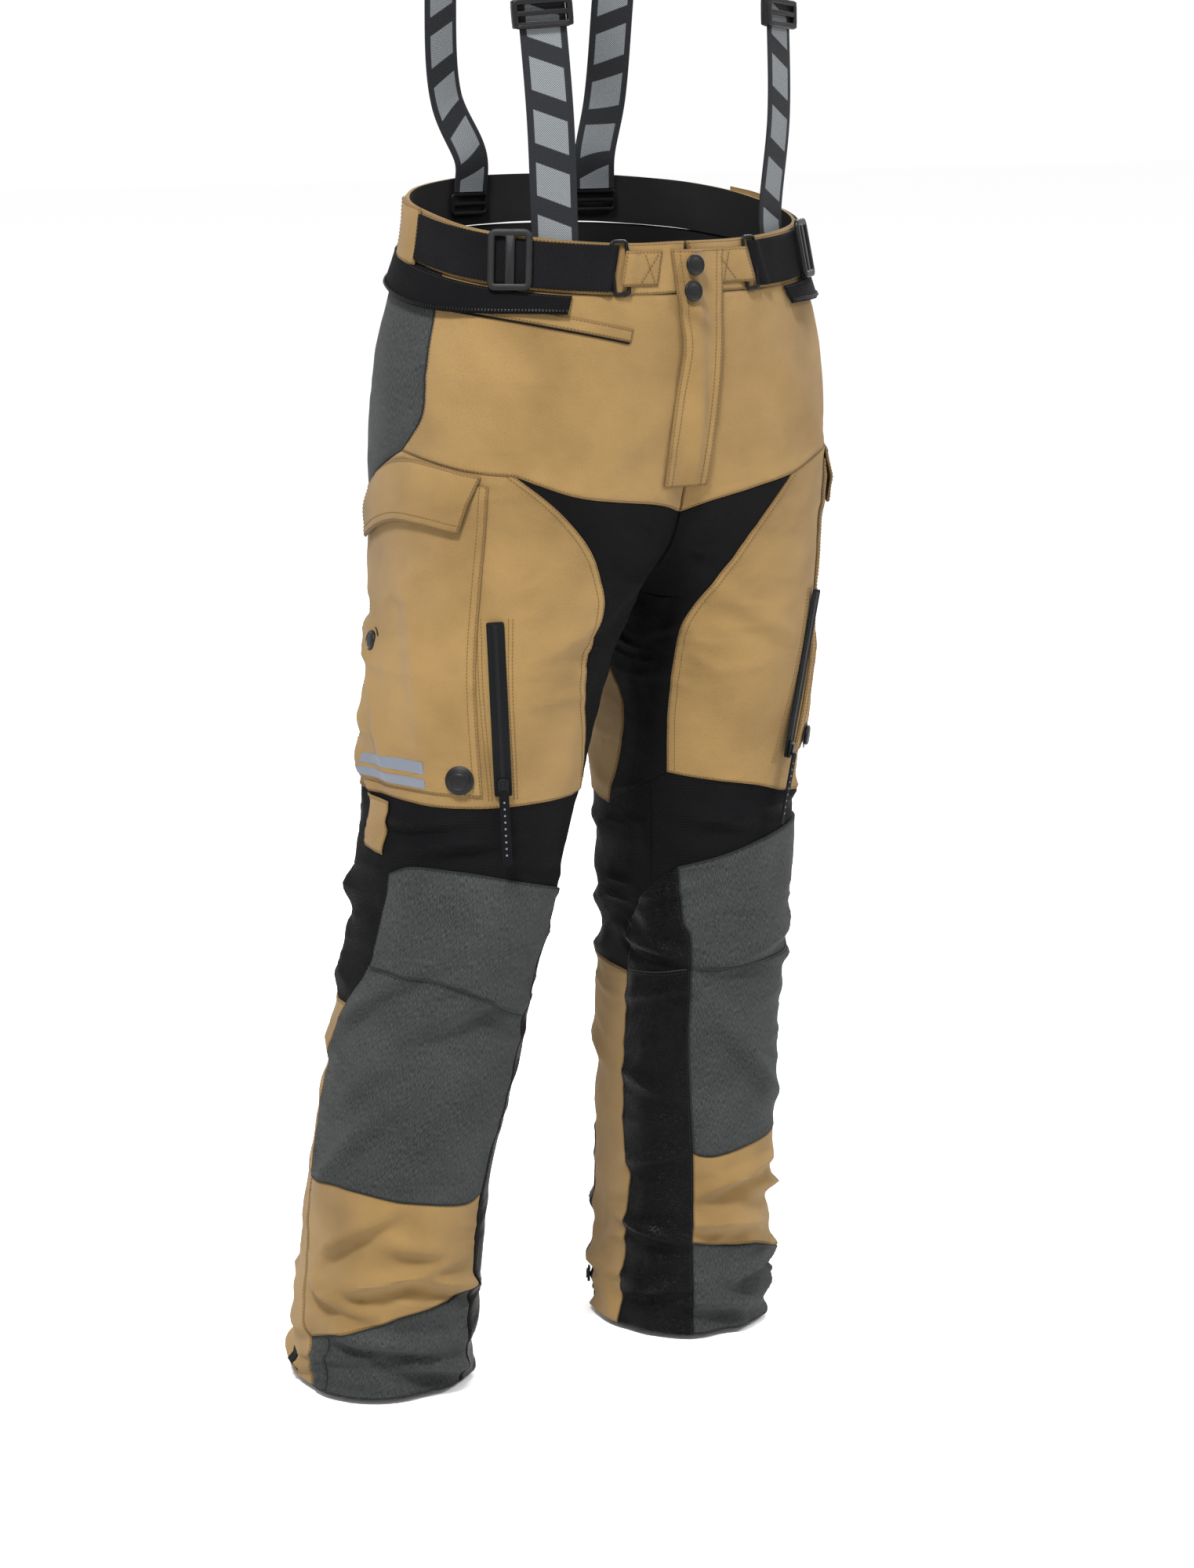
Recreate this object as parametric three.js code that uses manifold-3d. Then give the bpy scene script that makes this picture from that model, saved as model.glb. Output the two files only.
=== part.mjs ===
// Adventure-riding overtrousers with braces, shown in the shape that they take on a standing wearer.
// Units are millimetres. +Z is up, -Y is the wearer's front and -X is the wearer's right.
// The origin is the centre of the waist opening, halfway up the waistband.
//
// The garment is one surface. Each leg, with its half of the hips, is a stack of superellipse sections,
// and a point on it is an angle and a height. The angle is 0 at the front, 90 on the outer side, 180 at
// the back and -90 (or 270) on the inner side. Every panel is a wall laid on a patch of that surface.
import * as THREE from "three";
import { mergeVertices } from "three/addons/utils/BufferGeometryUtils.js";
import Module from "manifold-3d";

const wasm = await Module();
wasm.setup();

// ---- Driving dimensions -------------------------------------------------------------------------
const RISE = 325; // waist centre down to the crotch
const INSEAM = 737; // crotch down to the hem
const WAIST_HALF_WIDTH = 191;
const WAIST_HALF_DEPTH = 130;
const THIGH_RADIUS = 103;
const KNEE_RADIUS = 88;
const HEM_RADIUS = 82;
const SQUARENESS = 2.25; // exponent of the sections: 2 is an ellipse
const WAIST_TILT = 0.2; // the back of the waistband stands higher than its front

const WALL = 2.5; // shell fabric with its lining
const SEAM_GAP = 0.8; // gap left between panels that are sewn edge to edge
const TUCK = 0.25; // how far each sewn panel is drawn in from its pattern line
const CUT_OVER = 1.4; // how far a cutting shape reaches beyond both faces of a panel
const CENTRE_GAP = 0.8; // gap between the left and right halves at the middle plane
const LAY_GAP = 1; // gap under a piece that lies on a curved panel
const RUN_GAP = 0.4; // gap between hard pieces that slide or seat on each other

const BAND_HEIGHT = 45;
const BAND_OUT = 1; // the waistband stands this far proud of the panels
const BAND_WALL = 4;
const WEBBING_WIDTH = 42;
const WEBBING_THICK = 2.2;
const ZIP_WIDTH = 16;
const ZIP_THICK = 1.6;
const SLIDER_WIDTH = 10;
const SLIDER_LENGTH = 16;
const SLIDER_THICK = 4;
const SNAP_RADIUS = 9.5;
const SNAP_THICK = 3.6;
const PULL_WIDTH = 9;
const PULL_LENGTH = 68;
const PULL_THICK = 1.6;
const RING = { width: 18, thick: 3.2, bar: 3.5, above: 4 }; // above: how far it stands past the webbing
const BUCKLE = { width: 40, thick: 4.5, above: 5.5, slot: 9 }; // two slots, each the same way off its middle
const CLIP = { width: 48, height: 22, thick: 2.5, slot: 3.5 };
const ADJUSTER = { length: 26, frame: 6, room: 1.2 }; // a brace adjuster, with running room round the strap

const POCKET_DEPTH = 4; // how far the cargo pocket's edge stands off the thigh
const POCKET_SWELL = 3; // how much further its middle stands off
const FLAP_WALL = 2.2;
const PROTECTOR_THICK = 10;
const PROTECTOR_DEPTH = 2.4; // between the knee patch and the armour behind it
const STRIP_WIDTH = 40; // the zip strip for a jacket
const SHOULDER_HEIGHT = 480; // top of the braces above the waist centre
const BRIDGE_HEIGHT = 300; // middle of the strap that joins the braces at the back

const SIDES = [
  { name: "left", sign: 1 },
  { name: "right", sign: -1 },
];

const rise = (share) => -RISE * share; // height of a share of the way from waist to crotch
const leg = (share) => -RISE - INSEAM * share; // height of a share of the way from crotch to hem
const lerp = (a, b, t) => a + (b - a) * t;
const radians = THREE.MathUtils.degToRad;

// ---- The body surface ---------------------------------------------------------------------------
// Section centres [across, back] of each leg, its half widths, and the gap from the middle plane to
// the inner side of the leg. Above the crotch the gap is negative, and the halves meet at the plane.
const SECTIONS = [
  { z: 60, right: [0, 0], left: [0, 0], outer: WAIST_HALF_WIDTH - 1, front: WAIST_HALF_DEPTH - 2,
    back: WAIST_HALF_DEPTH - 2, gap: { right: -190, left: -190 } },
  { z: 0, right: [4, 0], left: [4, 0], outer: WAIST_HALF_WIDTH, front: WAIST_HALF_DEPTH,
    back: WAIST_HALF_DEPTH, gap: { right: -190, left: -190 } },
  { z: rise(0.34), right: [32, 0], left: [32, 0], outer: WAIST_HALF_WIDTH - 4, front: WAIST_HALF_DEPTH + 12,
    back: WAIST_HALF_DEPTH + 20, gap: { right: -175, left: -175 } },
  { z: rise(0.615), right: [64, -2], left: [60, -2], outer: THIGH_RADIUS + 57, front: THIGH_RADIUS + 37,
    back: THIGH_RADIUS + 53, gap: { right: -105, left: -105 } },
  { z: rise(0.83), right: [90, -4], left: [80, -4], outer: THIGH_RADIUS + 29, front: THIGH_RADIUS + 29,
    back: THIGH_RADIUS + 45, gap: { right: -48, left: -48 } },
  { z: leg(0), right: [110, -6], left: [92, -6], outer: THIGH_RADIUS + 11, front: THIGH_RADIUS + 21,
    back: THIGH_RADIUS + 33, gap: { right: 0, left: 0 } },
  { z: leg(0.1), right: [134, -8], left: [101, -8], outer: THIGH_RADIUS, front: THIGH_RADIUS + 10,
    back: THIGH_RADIUS + 17, gap: { right: 30, left: 5 } },
  { z: leg(0.265), right: [160, -12], left: [103, -6], outer: KNEE_RADIUS + 6, front: KNEE_RADIUS + 12,
    back: KNEE_RADIUS + 14, gap: { right: 66, left: 10 } },
  { z: leg(0.427), right: [186, -14], left: [99, -10], outer: KNEE_RADIUS, front: KNEE_RADIUS + 6,
    back: KNEE_RADIUS + 8, gap: { right: 100, left: 14 } },
  { z: leg(0.59), right: [206, 0], left: [99, -4], outer: KNEE_RADIUS - 4, front: KNEE_RADIUS,
    back: KNEE_RADIUS + 4, gap: { right: 122, left: 16 } },
  { z: leg(0.753), right: [222, 16], left: [102, 4], outer: HEM_RADIUS - 1, front: HEM_RADIUS + 3,
    back: HEM_RADIUS + 8, gap: { right: 141, left: 21 } },
  { z: leg(1.024), right: [234, 34], left: [106, 16], outer: HEM_RADIUS, front: HEM_RADIUS + 4,
    back: HEM_RADIUS + 10, gap: { right: 152, left: 24 } },
].reverse();

// One value of the sections, smoothed over height by a cubic through each section's value.
function alongHeight(z, pick) {
  const last = SECTIONS.length - 1;
  const height = THREE.MathUtils.clamp(z, SECTIONS[0].z, SECTIONS[last].z);
  let k = 0;
  while (k < last - 1 && SECTIONS[k + 1].z < height) k += 1;
  const slope = (i) => {
    const below = SECTIONS[Math.max(i - 1, 0)];
    const above = SECTIONS[Math.min(i + 1, last)];
    return (pick(above) - pick(below)) / (above.z - below.z);
  };
  const step = SECTIONS[k + 1].z - SECTIONS[k].z;
  const t = (height - SECTIONS[k].z) / step;
  return (
    (2 * t ** 3 - 3 * t ** 2 + 1) * pick(SECTIONS[k]) +
    (t ** 3 - 2 * t ** 2 + t) * step * slope(k) +
    (-2 * t ** 3 + 3 * t ** 2) * pick(SECTIONS[k + 1]) +
    (t ** 3 - t ** 2) * step * slope(k + 1)
  );
}

function section(side, z) {
  const centre = alongHeight(z, (s) => s[side.name][0]);
  return {
    across: centre,
    along: alongHeight(z, (s) => s[side.name][1]),
    outer: alongHeight(z, (s) => s.outer),
    inner: centre - alongHeight(z, (s) => s.gap[side.name]),
    front: alongHeight(z, (s) => s.front),
    back: alongHeight(z, (s) => s.back),
  };
}

// The point of one half of the garment at an angle in degrees and a height, standing off by out.
function surface(side, angle, z, out = 0) {
  const s = section(side, z);
  const sin = Math.sin(radians(angle));
  const cos = Math.cos(radians(angle));
  const wide = Math.abs(sin / (sin > 0 ? s.outer : s.inner)) ** SQUARENESS;
  const deep = Math.abs(cos / (cos > 0 ? s.front : s.back)) ** SQUARENESS;
  const reach = (wide + deep) ** (-1 / SQUARENESS) + out;
  const across = Math.max(s.across + reach * sin, CENTRE_GAP / 2);
  return new THREE.Vector3(side.sign * across, s.along - reach * cos, z);
}

// The angle at which one half meets the middle plane, searched between two angles.
function meetingAngle(side, z, far, near) {
  let [low, high] = [far, near];
  for (let i = 0; i < 40; i += 1) {
    const middle = (low + high) / 2;
    if (Math.abs(surface(side, middle, z).x) <= CENTRE_GAP / 2 + 1e-6) low = middle;
    else high = middle;
  }
  return high;
}
const centreFront = (side, z) => meetingAngle(side, z, -90, 0);
const centreBack = (side, z) => meetingAngle(side, z, 270, 180);

// A frame on the surface: X to the wearer's left along it, Y up along it and Z out of it.
function surfaceFrame(side, angle, z, out) {
  const turn = surface(side, angle + 1, z).sub(surface(side, angle - 1, z));
  const x = turn.multiplyScalar(side.sign).normalize();
  const up = surface(side, angle, z + 4).sub(surface(side, angle, z - 4));
  const normal = new THREE.Vector3().crossVectors(x, up).normalize();
  const y = new THREE.Vector3().crossVectors(normal, x);
  const origin = surface(side, angle, z).addScaledVector(normal, out);
  return new THREE.Matrix4().makeBasis(x, y, normal).setPosition(origin);
}

// Height of a level measured from the waistband's middle line, which tilts with the waist.
function bandLevel(side, angle, level) {
  return level + WAIST_TILT * surface(side, angle, 0).y;
}

// ---- Solids -------------------------------------------------------------------------------------
// Turns the faces round if they point inwards.
function facingOut(positions, triangles) {
  const at = (i) => new THREE.Vector3().fromArray(positions, 3 * i);
  let volume = 0;
  for (let i = 0; i < triangles.length; i += 3) {
    const [a, b, c] = [at(triangles[i]), at(triangles[i + 1]), at(triangles[i + 2])];
    volume += a.dot(b.cross(c));
  }
  const geometry = new THREE.BufferGeometry();
  geometry.setAttribute("position", new THREE.Float32BufferAttribute(positions, 3));
  geometry.setIndex(volume < 0 ? triangles.reverse() : triangles);
  geometry.computeVertexNormals();
  return geometry;
}

// A closed wall between an inner and an outer sheet. point(s, t, layer) gives a corner of the grid,
// with layer 0 on the inner sheet and 1 on the outer one. A loop joins its last column to its first.
function wall(point, across, down, isLoop = false) {
  const columns = isLoop ? across : across + 1;
  const positions = [];
  for (const layer of [0, 1])
    for (let j = 0; j <= down; j += 1)
      for (let i = 0; i < columns; i += 1)
        positions.push(...point(i / across, j / down, layer).toArray());
  const id = (i, j, layer) => (layer * (down + 1) + j) * columns + (i % columns);
  const triangles = [];
  const quad = (a, b, c, d) => triangles.push(a, b, c, a, c, d);
  for (let i = 0; i < across; i += 1) {
    for (let j = 0; j < down; j += 1) {
      quad(id(i, j, 1), id(i, j + 1, 1), id(i + 1, j + 1, 1), id(i + 1, j, 1));
      quad(id(i, j, 0), id(i + 1, j, 0), id(i + 1, j + 1, 0), id(i, j + 1, 0));
    }
    quad(id(i, 0, 1), id(i + 1, 0, 1), id(i + 1, 0, 0), id(i, 0, 0));
    quad(id(i + 1, down, 1), id(i, down, 1), id(i, down, 0), id(i + 1, down, 0));
  }
  for (let j = 0; j < down && !isLoop; j += 1) {
    quad(id(0, j + 1, 1), id(0, j, 1), id(0, j, 0), id(0, j + 1, 0));
    quad(id(across, j, 1), id(across, j + 1, 1), id(across, j + 1, 0), id(across, j, 0));
  }
  return facingOut(positions, triangles);
}

// A smooth line through [angle, height] points.
function line(points) {
  const curve = new THREE.SplineCurve(points.map(([a, z]) => new THREE.Vector2(a, z)));
  return (t) => curve.getPoint(t).toArray();
}
const turned = (edge, degrees) => (t) => [edge(t)[0] + degrees, edge(t)[1]];

// Two lines run one after the other, the first taking a share of the whole.
const joined = (first, second, share) => (t) =>
  t < share ? first(t / share) : second((t - share) / (1 - share));

// The patch between four edges: top and bottom run left to right, left and right run downwards.
function coons({ top, bottom, left, right }) {
  return (s, t) =>
    [0, 1].map(
      (k) =>
        (1 - t) * top(s)[k] + t * bottom(s)[k] + (1 - s) * left(t)[k] + s * right(t)[k] -
        (1 - s) * (1 - t) * top(0)[k] - s * (1 - t) * top(1)[k] -
        (1 - s) * t * bottom(0)[k] - s * t * bottom(1)[k],
    );
}

// The same patch with its edges moved out along it, or drawn in where the distance is negative.
function grown(patch, distance) {
  const apart = ([a, z], [b, y]) => Math.hypot(radians(a - b) * THIGH_RADIUS, z - y);
  const stretch = (t, length) => lerp(-distance / length, 1 + distance / length, t);
  const straight = (share, at) => {
    const near = THREE.MathUtils.clamp(share, 0, 1);
    const inside = THREE.MathUtils.clamp(share, 0.01, 0.99);
    if (near === share) return at(share);
    const [edge, next] = [at(near), at(inside)];
    return edge.map((value, k) => value + ((value - next[k]) * (share - near)) / (near - inside));
  };
  return (s, t) => {
    const across = stretch(s, Math.max(apart(patch(0, t), patch(1, t)), 12));
    const down = stretch(t, Math.max(apart(patch(s, 0), patch(s, 1)), 12));
    return straight(across, (u) => straight(down, (v) => patch(u, v)));
  };
}

function panel(side, patch, across, down, inner = -WALL, outer = 0) {
  const value = (level, s, t) => (typeof level === "function" ? level(s, t) : level);
  const point = (s, t, layer) => surface(side, ...patch(s, t), value(layer ? outer : inner, s, t));
  return wall(point, across, down);
}

// Lays the sewn panels of one side in turn. Each is cut back from those before it by a seam's gap.
function sew(side, panels) {
  const laid = [];
  for (const { name, patch, across, down, material, geometry } of panels) {
    let body = solid(geometry ?? panel(side, grown(patch, -TUCK), across, down));
    for (const cutter of laid) body = body.subtract(cutter);
    const pieces = body.decompose().sort((a, b) => b.volume() - a.volume());
    [body] = pieces; // a cut can leave a thread beyond a corner
    add(`${name}_${side.name}`, geometryOf(body), material);
    if (patch)
      laid.push(solid(panel(side, grown(patch, SEAM_GAP), across, down, -WALL - CUT_OVER, CUT_OVER)));
  }
}

// A flat strip of webbing along a path, with its outer face turned to the given normals.
function ribbon(path, normals, width, thick, steps) {
  const course = new THREE.CatmullRomCurve3(path, false, "centripetal");
  const point = (s, t, layer) => {
    const place = t * (normals.length - 1);
    const k = Math.min(Math.floor(place), normals.length - 2);
    const facing = normals[k].clone().lerp(normals[k + 1], place - k);
    const along = course.getTangent(t);
    const out = facing.addScaledVector(along, -facing.dot(along)).normalize();
    const beside = new THREE.Vector3().crossVectors(along, out);
    return course.getPoint(t).addScaledVector(beside, (s - 0.5) * width).addScaledVector(out, layer * thick);
  };
  return wall(point, 1, steps);
}

function rounded(width, height, radius) {
  const [w, h] = [width / 2 - radius, height / 2 - radius];
  const outline = new THREE.Shape();
  outline.absarc(w, h, radius, 0, Math.PI / 2);
  outline.absarc(-w, h, radius, Math.PI / 2, Math.PI);
  outline.absarc(-w, -h, radius, Math.PI, 1.5 * Math.PI);
  outline.absarc(w, -h, radius, 1.5 * Math.PI, 2 * Math.PI);
  return outline;
}

// A closed geometry as a solid that can be cut, and back again.
function solid(geometry) {
  const bare = geometry.clone();
  bare.deleteAttribute("normal");
  bare.deleteAttribute("uv");
  const merged = mergeVertices(bare, 1e-3);
  const mesh = { numProp: 3, vertProperties: merged.attributes.position.array,
    triVerts: new Uint32Array(merged.index.array) };
  return new wasm.Manifold(new wasm.Mesh(mesh));
}
function geometryOf(manifold) {
  const mesh = manifold.getMesh();
  const geometry = new THREE.BufferGeometry();
  geometry.setAttribute("position", new THREE.BufferAttribute(mesh.vertProperties, 3));
  geometry.setIndex(new THREE.BufferAttribute(mesh.triVerts, 1));
  geometry.computeVertexNormals();
  return geometry;
}

// A plate with rounded corners, standing from its back face up, cut by slots of [x, y, width, height].
function plate(width, height, thick, radius, slots = []) {
  const settings = { depth: thick, bevelEnabled: false, curveSegments: 3 };
  let body = solid(new THREE.ExtrudeGeometry(rounded(width, height, radius), settings));
  for (const [x, y, w, h] of slots)
    body = body.subtract(solid(new THREE.BoxGeometry(w, h, 3 * thick).translate(x, y, thick / 2)));
  return geometryOf(body);
}

const snapCap = () =>
  new THREE.CylinderGeometry(SNAP_RADIUS, SNAP_RADIUS, SNAP_THICK, 20).rotateX(Math.PI / 2);

// ---- Materials ----------------------------------------------------------------------------------
const finish = (color, roughness, metalness = 0) =>
  new THREE.MeshStandardMaterial({ color, roughness, metalness });
const TAN = finish(0xb0915a, 0.85);
const STRETCH = finish(0x1f1f22, 0.8);
const GREY = finish(0x4a4d4d, 0.9);
const LEATHER = finish(0x1b1a19, 0.45);
const WEBBING = finish(0x1c1f28, 0.7);
const PLASTIC = finish(0x1a1a1b, 0.4);
const METAL = finish(0x2b2b2d, 0.45, 0.6);
const FOAM = finish(0xc98a2b, 0.8);

const garment = new THREE.Group();
function add(name, geometry, material, matrix) {
  const mesh = new THREE.Mesh(geometry, material);
  mesh.name = name;
  if (matrix) mesh.applyMatrix4(matrix);
  garment.add(mesh);
}

// ---- Edges of the panels ------------------------------------------------------------------------
const YOKE_END = 80; // angle where the front yoke meets the seat panel
const HORN = { left: [22, rise(0.675)], right: [44, rise(0.632)] }; // top tip of the inner thigh panel
const CENTRE_DROP = rise(0.76); // where the yoke line reaches the middle
const GUSSET_TOP = rise(0.985); // where the seat ends at the centre back
const FRONT_SEAM = {
  left: [[-4, rise(0.834)], [-31, leg(0.012)], [-43, leg(0.06)], [-50, leg(0.15)], [-51, leg(0.237)]],
  right: [[24, rise(0.735)], [4, rise(0.86)], [-10, leg(0)], [-16, leg(0.09)], [-30, leg(0.16)],
    [-46, leg(0.238)]],
};
const BACK_SEAM = [[-112, leg(0.035)], [-105, leg(0.078)], [-92, leg(0.115)], [-81, leg(0.16)],
  [-85, leg(0.22)], [-99, leg(0.292)]];
const KNEE_LINE = {
  left: [[-51, leg(0.237)], [-3, leg(0.256)], [24, leg(0.272)], [60, leg(0.278)], [100, leg(0.27)],
    [150, leg(0.265)], [215, leg(0.278)], [261, leg(0.292)]],
  right: [[-46, leg(0.238)], [0, leg(0.24)], [50, leg(0.24)], [94, leg(0.234)], [150, leg(0.245)],
    [215, leg(0.27)], [261, leg(0.292)]],
};

const PATCH_TOP = [[-45, leg(0.36)], [0, leg(0.334)], [30, leg(0.319)], [60, leg(0.315)], [76, leg(0.327)]];
const PATCH_INNER = [[-45, leg(0.36)], [-42, leg(0.427)], [-37, leg(0.455)], [-36, leg(0.52)],
  [-36, leg(0.59)], [-34, leg(0.67)], [-31, leg(0.748)]];
const PATCH_OUTER = [[76, leg(0.327)], [77, leg(0.375)], [79, leg(0.42)], [86, leg(0.46)], [98, leg(0.5)]];
const CALF_FRONT = [[98, leg(0.5)], [113, leg(0.556)], [116, leg(0.6)], [115, leg(0.655)],
  [112, leg(0.733)]];
const PATCH_BOTTOM = [[-31, leg(0.748)], [-15, leg(0.755)], [27, leg(0.741)], [63, leg(0.73)],
  [112, leg(0.733)]];
const SHIN_OUTER = [[112, leg(0.733)], [108, leg(0.795)], [103, leg(0.875)], [92, leg(0.937)]];
const SHIN_INNER = [[-31, leg(0.748)], [-30, leg(0.81)], [-30, leg(0.873)]];
const HEM_TOP = [[-30, leg(0.873)], [-4, leg(0.882)], [24, leg(0.892)], [55, leg(0.914)],
  [92, leg(0.937)]];
const HEM_INNER = [[-30, leg(0.873)], [-28, leg(1)]];
const HEM_OUTER = [[92, leg(0.937)], [85, leg(1)]];
const HEM_BOTTOM = [[-28, leg(1)], [85, leg(1)]];
const STRETCH_TOP = leg(0.225);
const STRETCH_BOTTOM = leg(0.52);
const LEATHER_TOP = [[-82, leg(0.44)], [-60, leg(0.385)], [-45, leg(0.36)]];
const LEATHER_BACK = [[-82, leg(0.44)], [-82, leg(0.55)], [-83, leg(0.73)], [-76, leg(0.79)],
  [-80, leg(0.88)], [-84, leg(1)]];
const CALF_TOP = [[98, leg(0.5)], [180, leg(0.496)], [235, leg(0.503)], [278, leg(0.51)]];
const CALF_BACK = [[278, leg(0.51)], [278, leg(0.55)], [277, leg(0.73)], [284, leg(0.79)],
  [280, leg(0.88)], [276, leg(1)]];

// ---- Sewn panels --------------------------------------------------------------------------------
function upperPanels(side) {
  const n = side.name;
  const bandBottom = (angle) => bandLevel(side, angle, -BAND_HEIGHT / 2) - SEAM_GAP;
  const across = (from, to) => (t) => {
    const angle = lerp(from, to, t);
    return [angle, bandBottom(angle)];
  };
  const middleTop = bandBottom(0);
  const middleBack = bandBottom(180);
  const frontMiddle = (t) => {
    const z = lerp(middleTop, CENTRE_DROP, t);
    return [centreFront(side, z), z];
  };
  const backMiddle = (t) => {
    const z = lerp(middleBack, GUSSET_TOP, t);
    return [centreBack(side, z), z];
  };
  const hip = line([[YOKE_END, bandBottom(YOKE_END)], [YOKE_END - 1, rise(0.35)], [YOKE_END - 1, rise(0.48)],
    [YOKE_END + 8, rise(0.578)]]);
  const horn = HORN[n];
  const yokeInner = line([frontMiddle(1), [-18, rise(0.73)], [horn[0] / 2 - 4, rise(0.695)], horn]);
  const yokeOuter = line([horn, [(horn[0] + 78) / 2, rise(0.62)], [YOKE_END + 8, rise(0.578)]]);
  const seatBottom = line([[YOKE_END + 8, rise(0.578)], [130, rise(0.73)], [175, rise(0.88)],
    [215, rise(0.96)],
    backMiddle(1)]);
  const gussetBack = line([turned(backMiddle, -360)(1), ...BACK_SEAM]);
  const frontSeam = line([horn, ...FRONT_SEAM[n]]);
  const kneeLine = line(KNEE_LINE[n]);
  const gussetFront = (t) => {
    const z = lerp(CENTRE_DROP, leg(0), t);
    return [centreFront(side, z), z];
  };

  return [
    { name: "front_yoke", across: 9, down: 5, material: TAN, patch: coons({
      top: across(frontMiddle(0)[0], YOKE_END), left: frontMiddle, right: hip,
      bottom: joined(yokeInner, yokeOuter, 5 / 9),
    }) },
    { name: "seat_panel", across: 10, down: 7, material: GREY, patch: coons({
      top: across(YOKE_END, backMiddle(0)[0]), bottom: seatBottom, left: hip, right: backMiddle,
    }) },
    { name: "thigh_panel", across: 20, down: 7, material: TAN, patch: coons({
      top: joined(yokeOuter, seatBottom, 0.3), bottom: kneeLine, left: frontSeam,
      right: turned(gussetBack, 360),
    }) },
    { name: "inner_thigh_panel", across: 5, down: 12, material: STRETCH, patch: coons({
      top: (t) => yokeInner(1 - t), left: frontSeam, right: joined(gussetFront, gussetBack, 5 / 12),
      bottom: line([FRONT_SEAM[n].at(-1), [-75, leg(0.265)], BACK_SEAM.at(-1)]),
    }) },
  ];
}

function lowerPanels(side) {
  const n = side.name;
  const patchOuter = joined(line(PATCH_OUTER), line(CALF_FRONT), 0.4);
  const shinOuter = line(SHIN_OUTER);
  const innerFront = joined(line(PATCH_INNER), joined(line(SHIN_INNER), line(HEM_INNER), 0.5), 5 / 9);
  const calfFront = joined(line(CALF_FRONT), joined(shinOuter, line(HEM_OUTER), 0.6), 4 / 9);
  return [
    { name: "knee_patch", across: 9, down: 10, material: GREY, patch: coons({
      top: line(PATCH_TOP), bottom: line(PATCH_BOTTOM), left: line(PATCH_INNER), right: patchOuter,
    }) },
    { name: "shin_panel", across: 9, down: 2, material: TAN, patch: coons({
      top: line(PATCH_BOTTOM), bottom: line(HEM_TOP), left: line(SHIN_INNER), right: shinOuter,
    }) },
    { name: "hem_band", across: 9, down: 1, material: GREY, patch: coons({
      top: line(HEM_TOP), bottom: line(HEM_BOTTOM), left: line(HEM_INNER), right: line(HEM_OUTER),
    }) },
    { name: "inner_leather", across: 4, down: 9, material: LEATHER, patch: coons({
      top: line(LEATHER_TOP), bottom: line([[-84, leg(1)], [-28, leg(1)]]), left: line(LEATHER_BACK),
      right: innerFront,
    }) },
    { name: "calf_panel", across: 10, down: 9, material: TAN, patch: coons({
      top: line(CALF_TOP), bottom: line([[85, leg(1)], [276, leg(1)]]), left: calfFront,
      right: line(CALF_BACK),
    }) },
  ];
}

// A whole ring round the knee. The panels above and below it, which are laid first, trim its edges.
function stretchRing(side) {
  const point = (s, t, layer) =>
    surface(side, 360 * s, lerp(STRETCH_TOP, STRETCH_BOTTOM, t), layer ? 0 : -WALL);
  return wall(point, 28, 6, true);
}

// The armour cup lies in a pocket behind the knee patch.
function addProtector(side) {
  const cup = coons({
    top: line([[-24, leg(0.385)], [16, leg(0.362)], [56, leg(0.372)]]),
    bottom: line([[-18, leg(0.62)], [20, leg(0.65)], [58, leg(0.62)]]),
    left: line([[-24, leg(0.385)], [-27, leg(0.48)], [-18, leg(0.62)]]),
    right: line([[56, leg(0.372)], [62, leg(0.48)], [58, leg(0.62)]]),
  });
  const cupOuter = -WALL - PROTECTOR_DEPTH;
  const swell = (s, t) => 0.5 + 0.5 * Math.sin(Math.PI * s) * Math.sin(Math.PI * t);
  const cupInner = (s, t) => cupOuter - PROTECTOR_THICK * swell(s, t);
  add(`knee_protector_${side.name}`, panel(side, cup, 6, 6, cupInner, cupOuter), FOAM);
}

// ---- Waistband and its belt adjusters -----------------------------------------------------------
// A point round the waist: the turn is 0 at the front, 90 on the wearer's left and 180 at the back.
function roundWaist(turn, level, out) {
  const side = turn <= 180 ? SIDES[0] : SIDES[1];
  const share = (turn <= 180 ? turn : 360 - turn) / 180;
  const angle = lerp(centreFront(side, 0), centreBack(side, 0), share);
  return surface(side, angle, bandLevel(side, angle, level), out);
}

const STRIP_END = 35; // angle from the front at which the strip ends
const STRIP_OUT = { sewn: 2 * LAY_GAP, free: 2 * LAY_GAP + 3 };
function addWaistband() {
  const half = BAND_HEIGHT / 2;
  const point = (s, t, layer) =>
    roundWaist(360 * s, lerp(half, -half, t), layer ? BAND_OUT : BAND_OUT - BAND_WALL);
  add("waistband", wall(point, 40, 1, true), TAN);
  // The zip strip that a jacket joins hangs round the back from the waistband's lower edge.
  const stripTop = -half - 2;
  const stripOut = (t, layer) => lerp(STRIP_OUT.sewn, STRIP_OUT.free, t) + layer * WALL;
  const strip = (s, t, layer) =>
    roundWaist(lerp(STRIP_END, 360 - STRIP_END, s), stripTop - t * STRIP_WIDTH, stripOut(t, layer));
  add("jacket_zip_strip", wall(strip, 34, 1), STRETCH);
}

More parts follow.
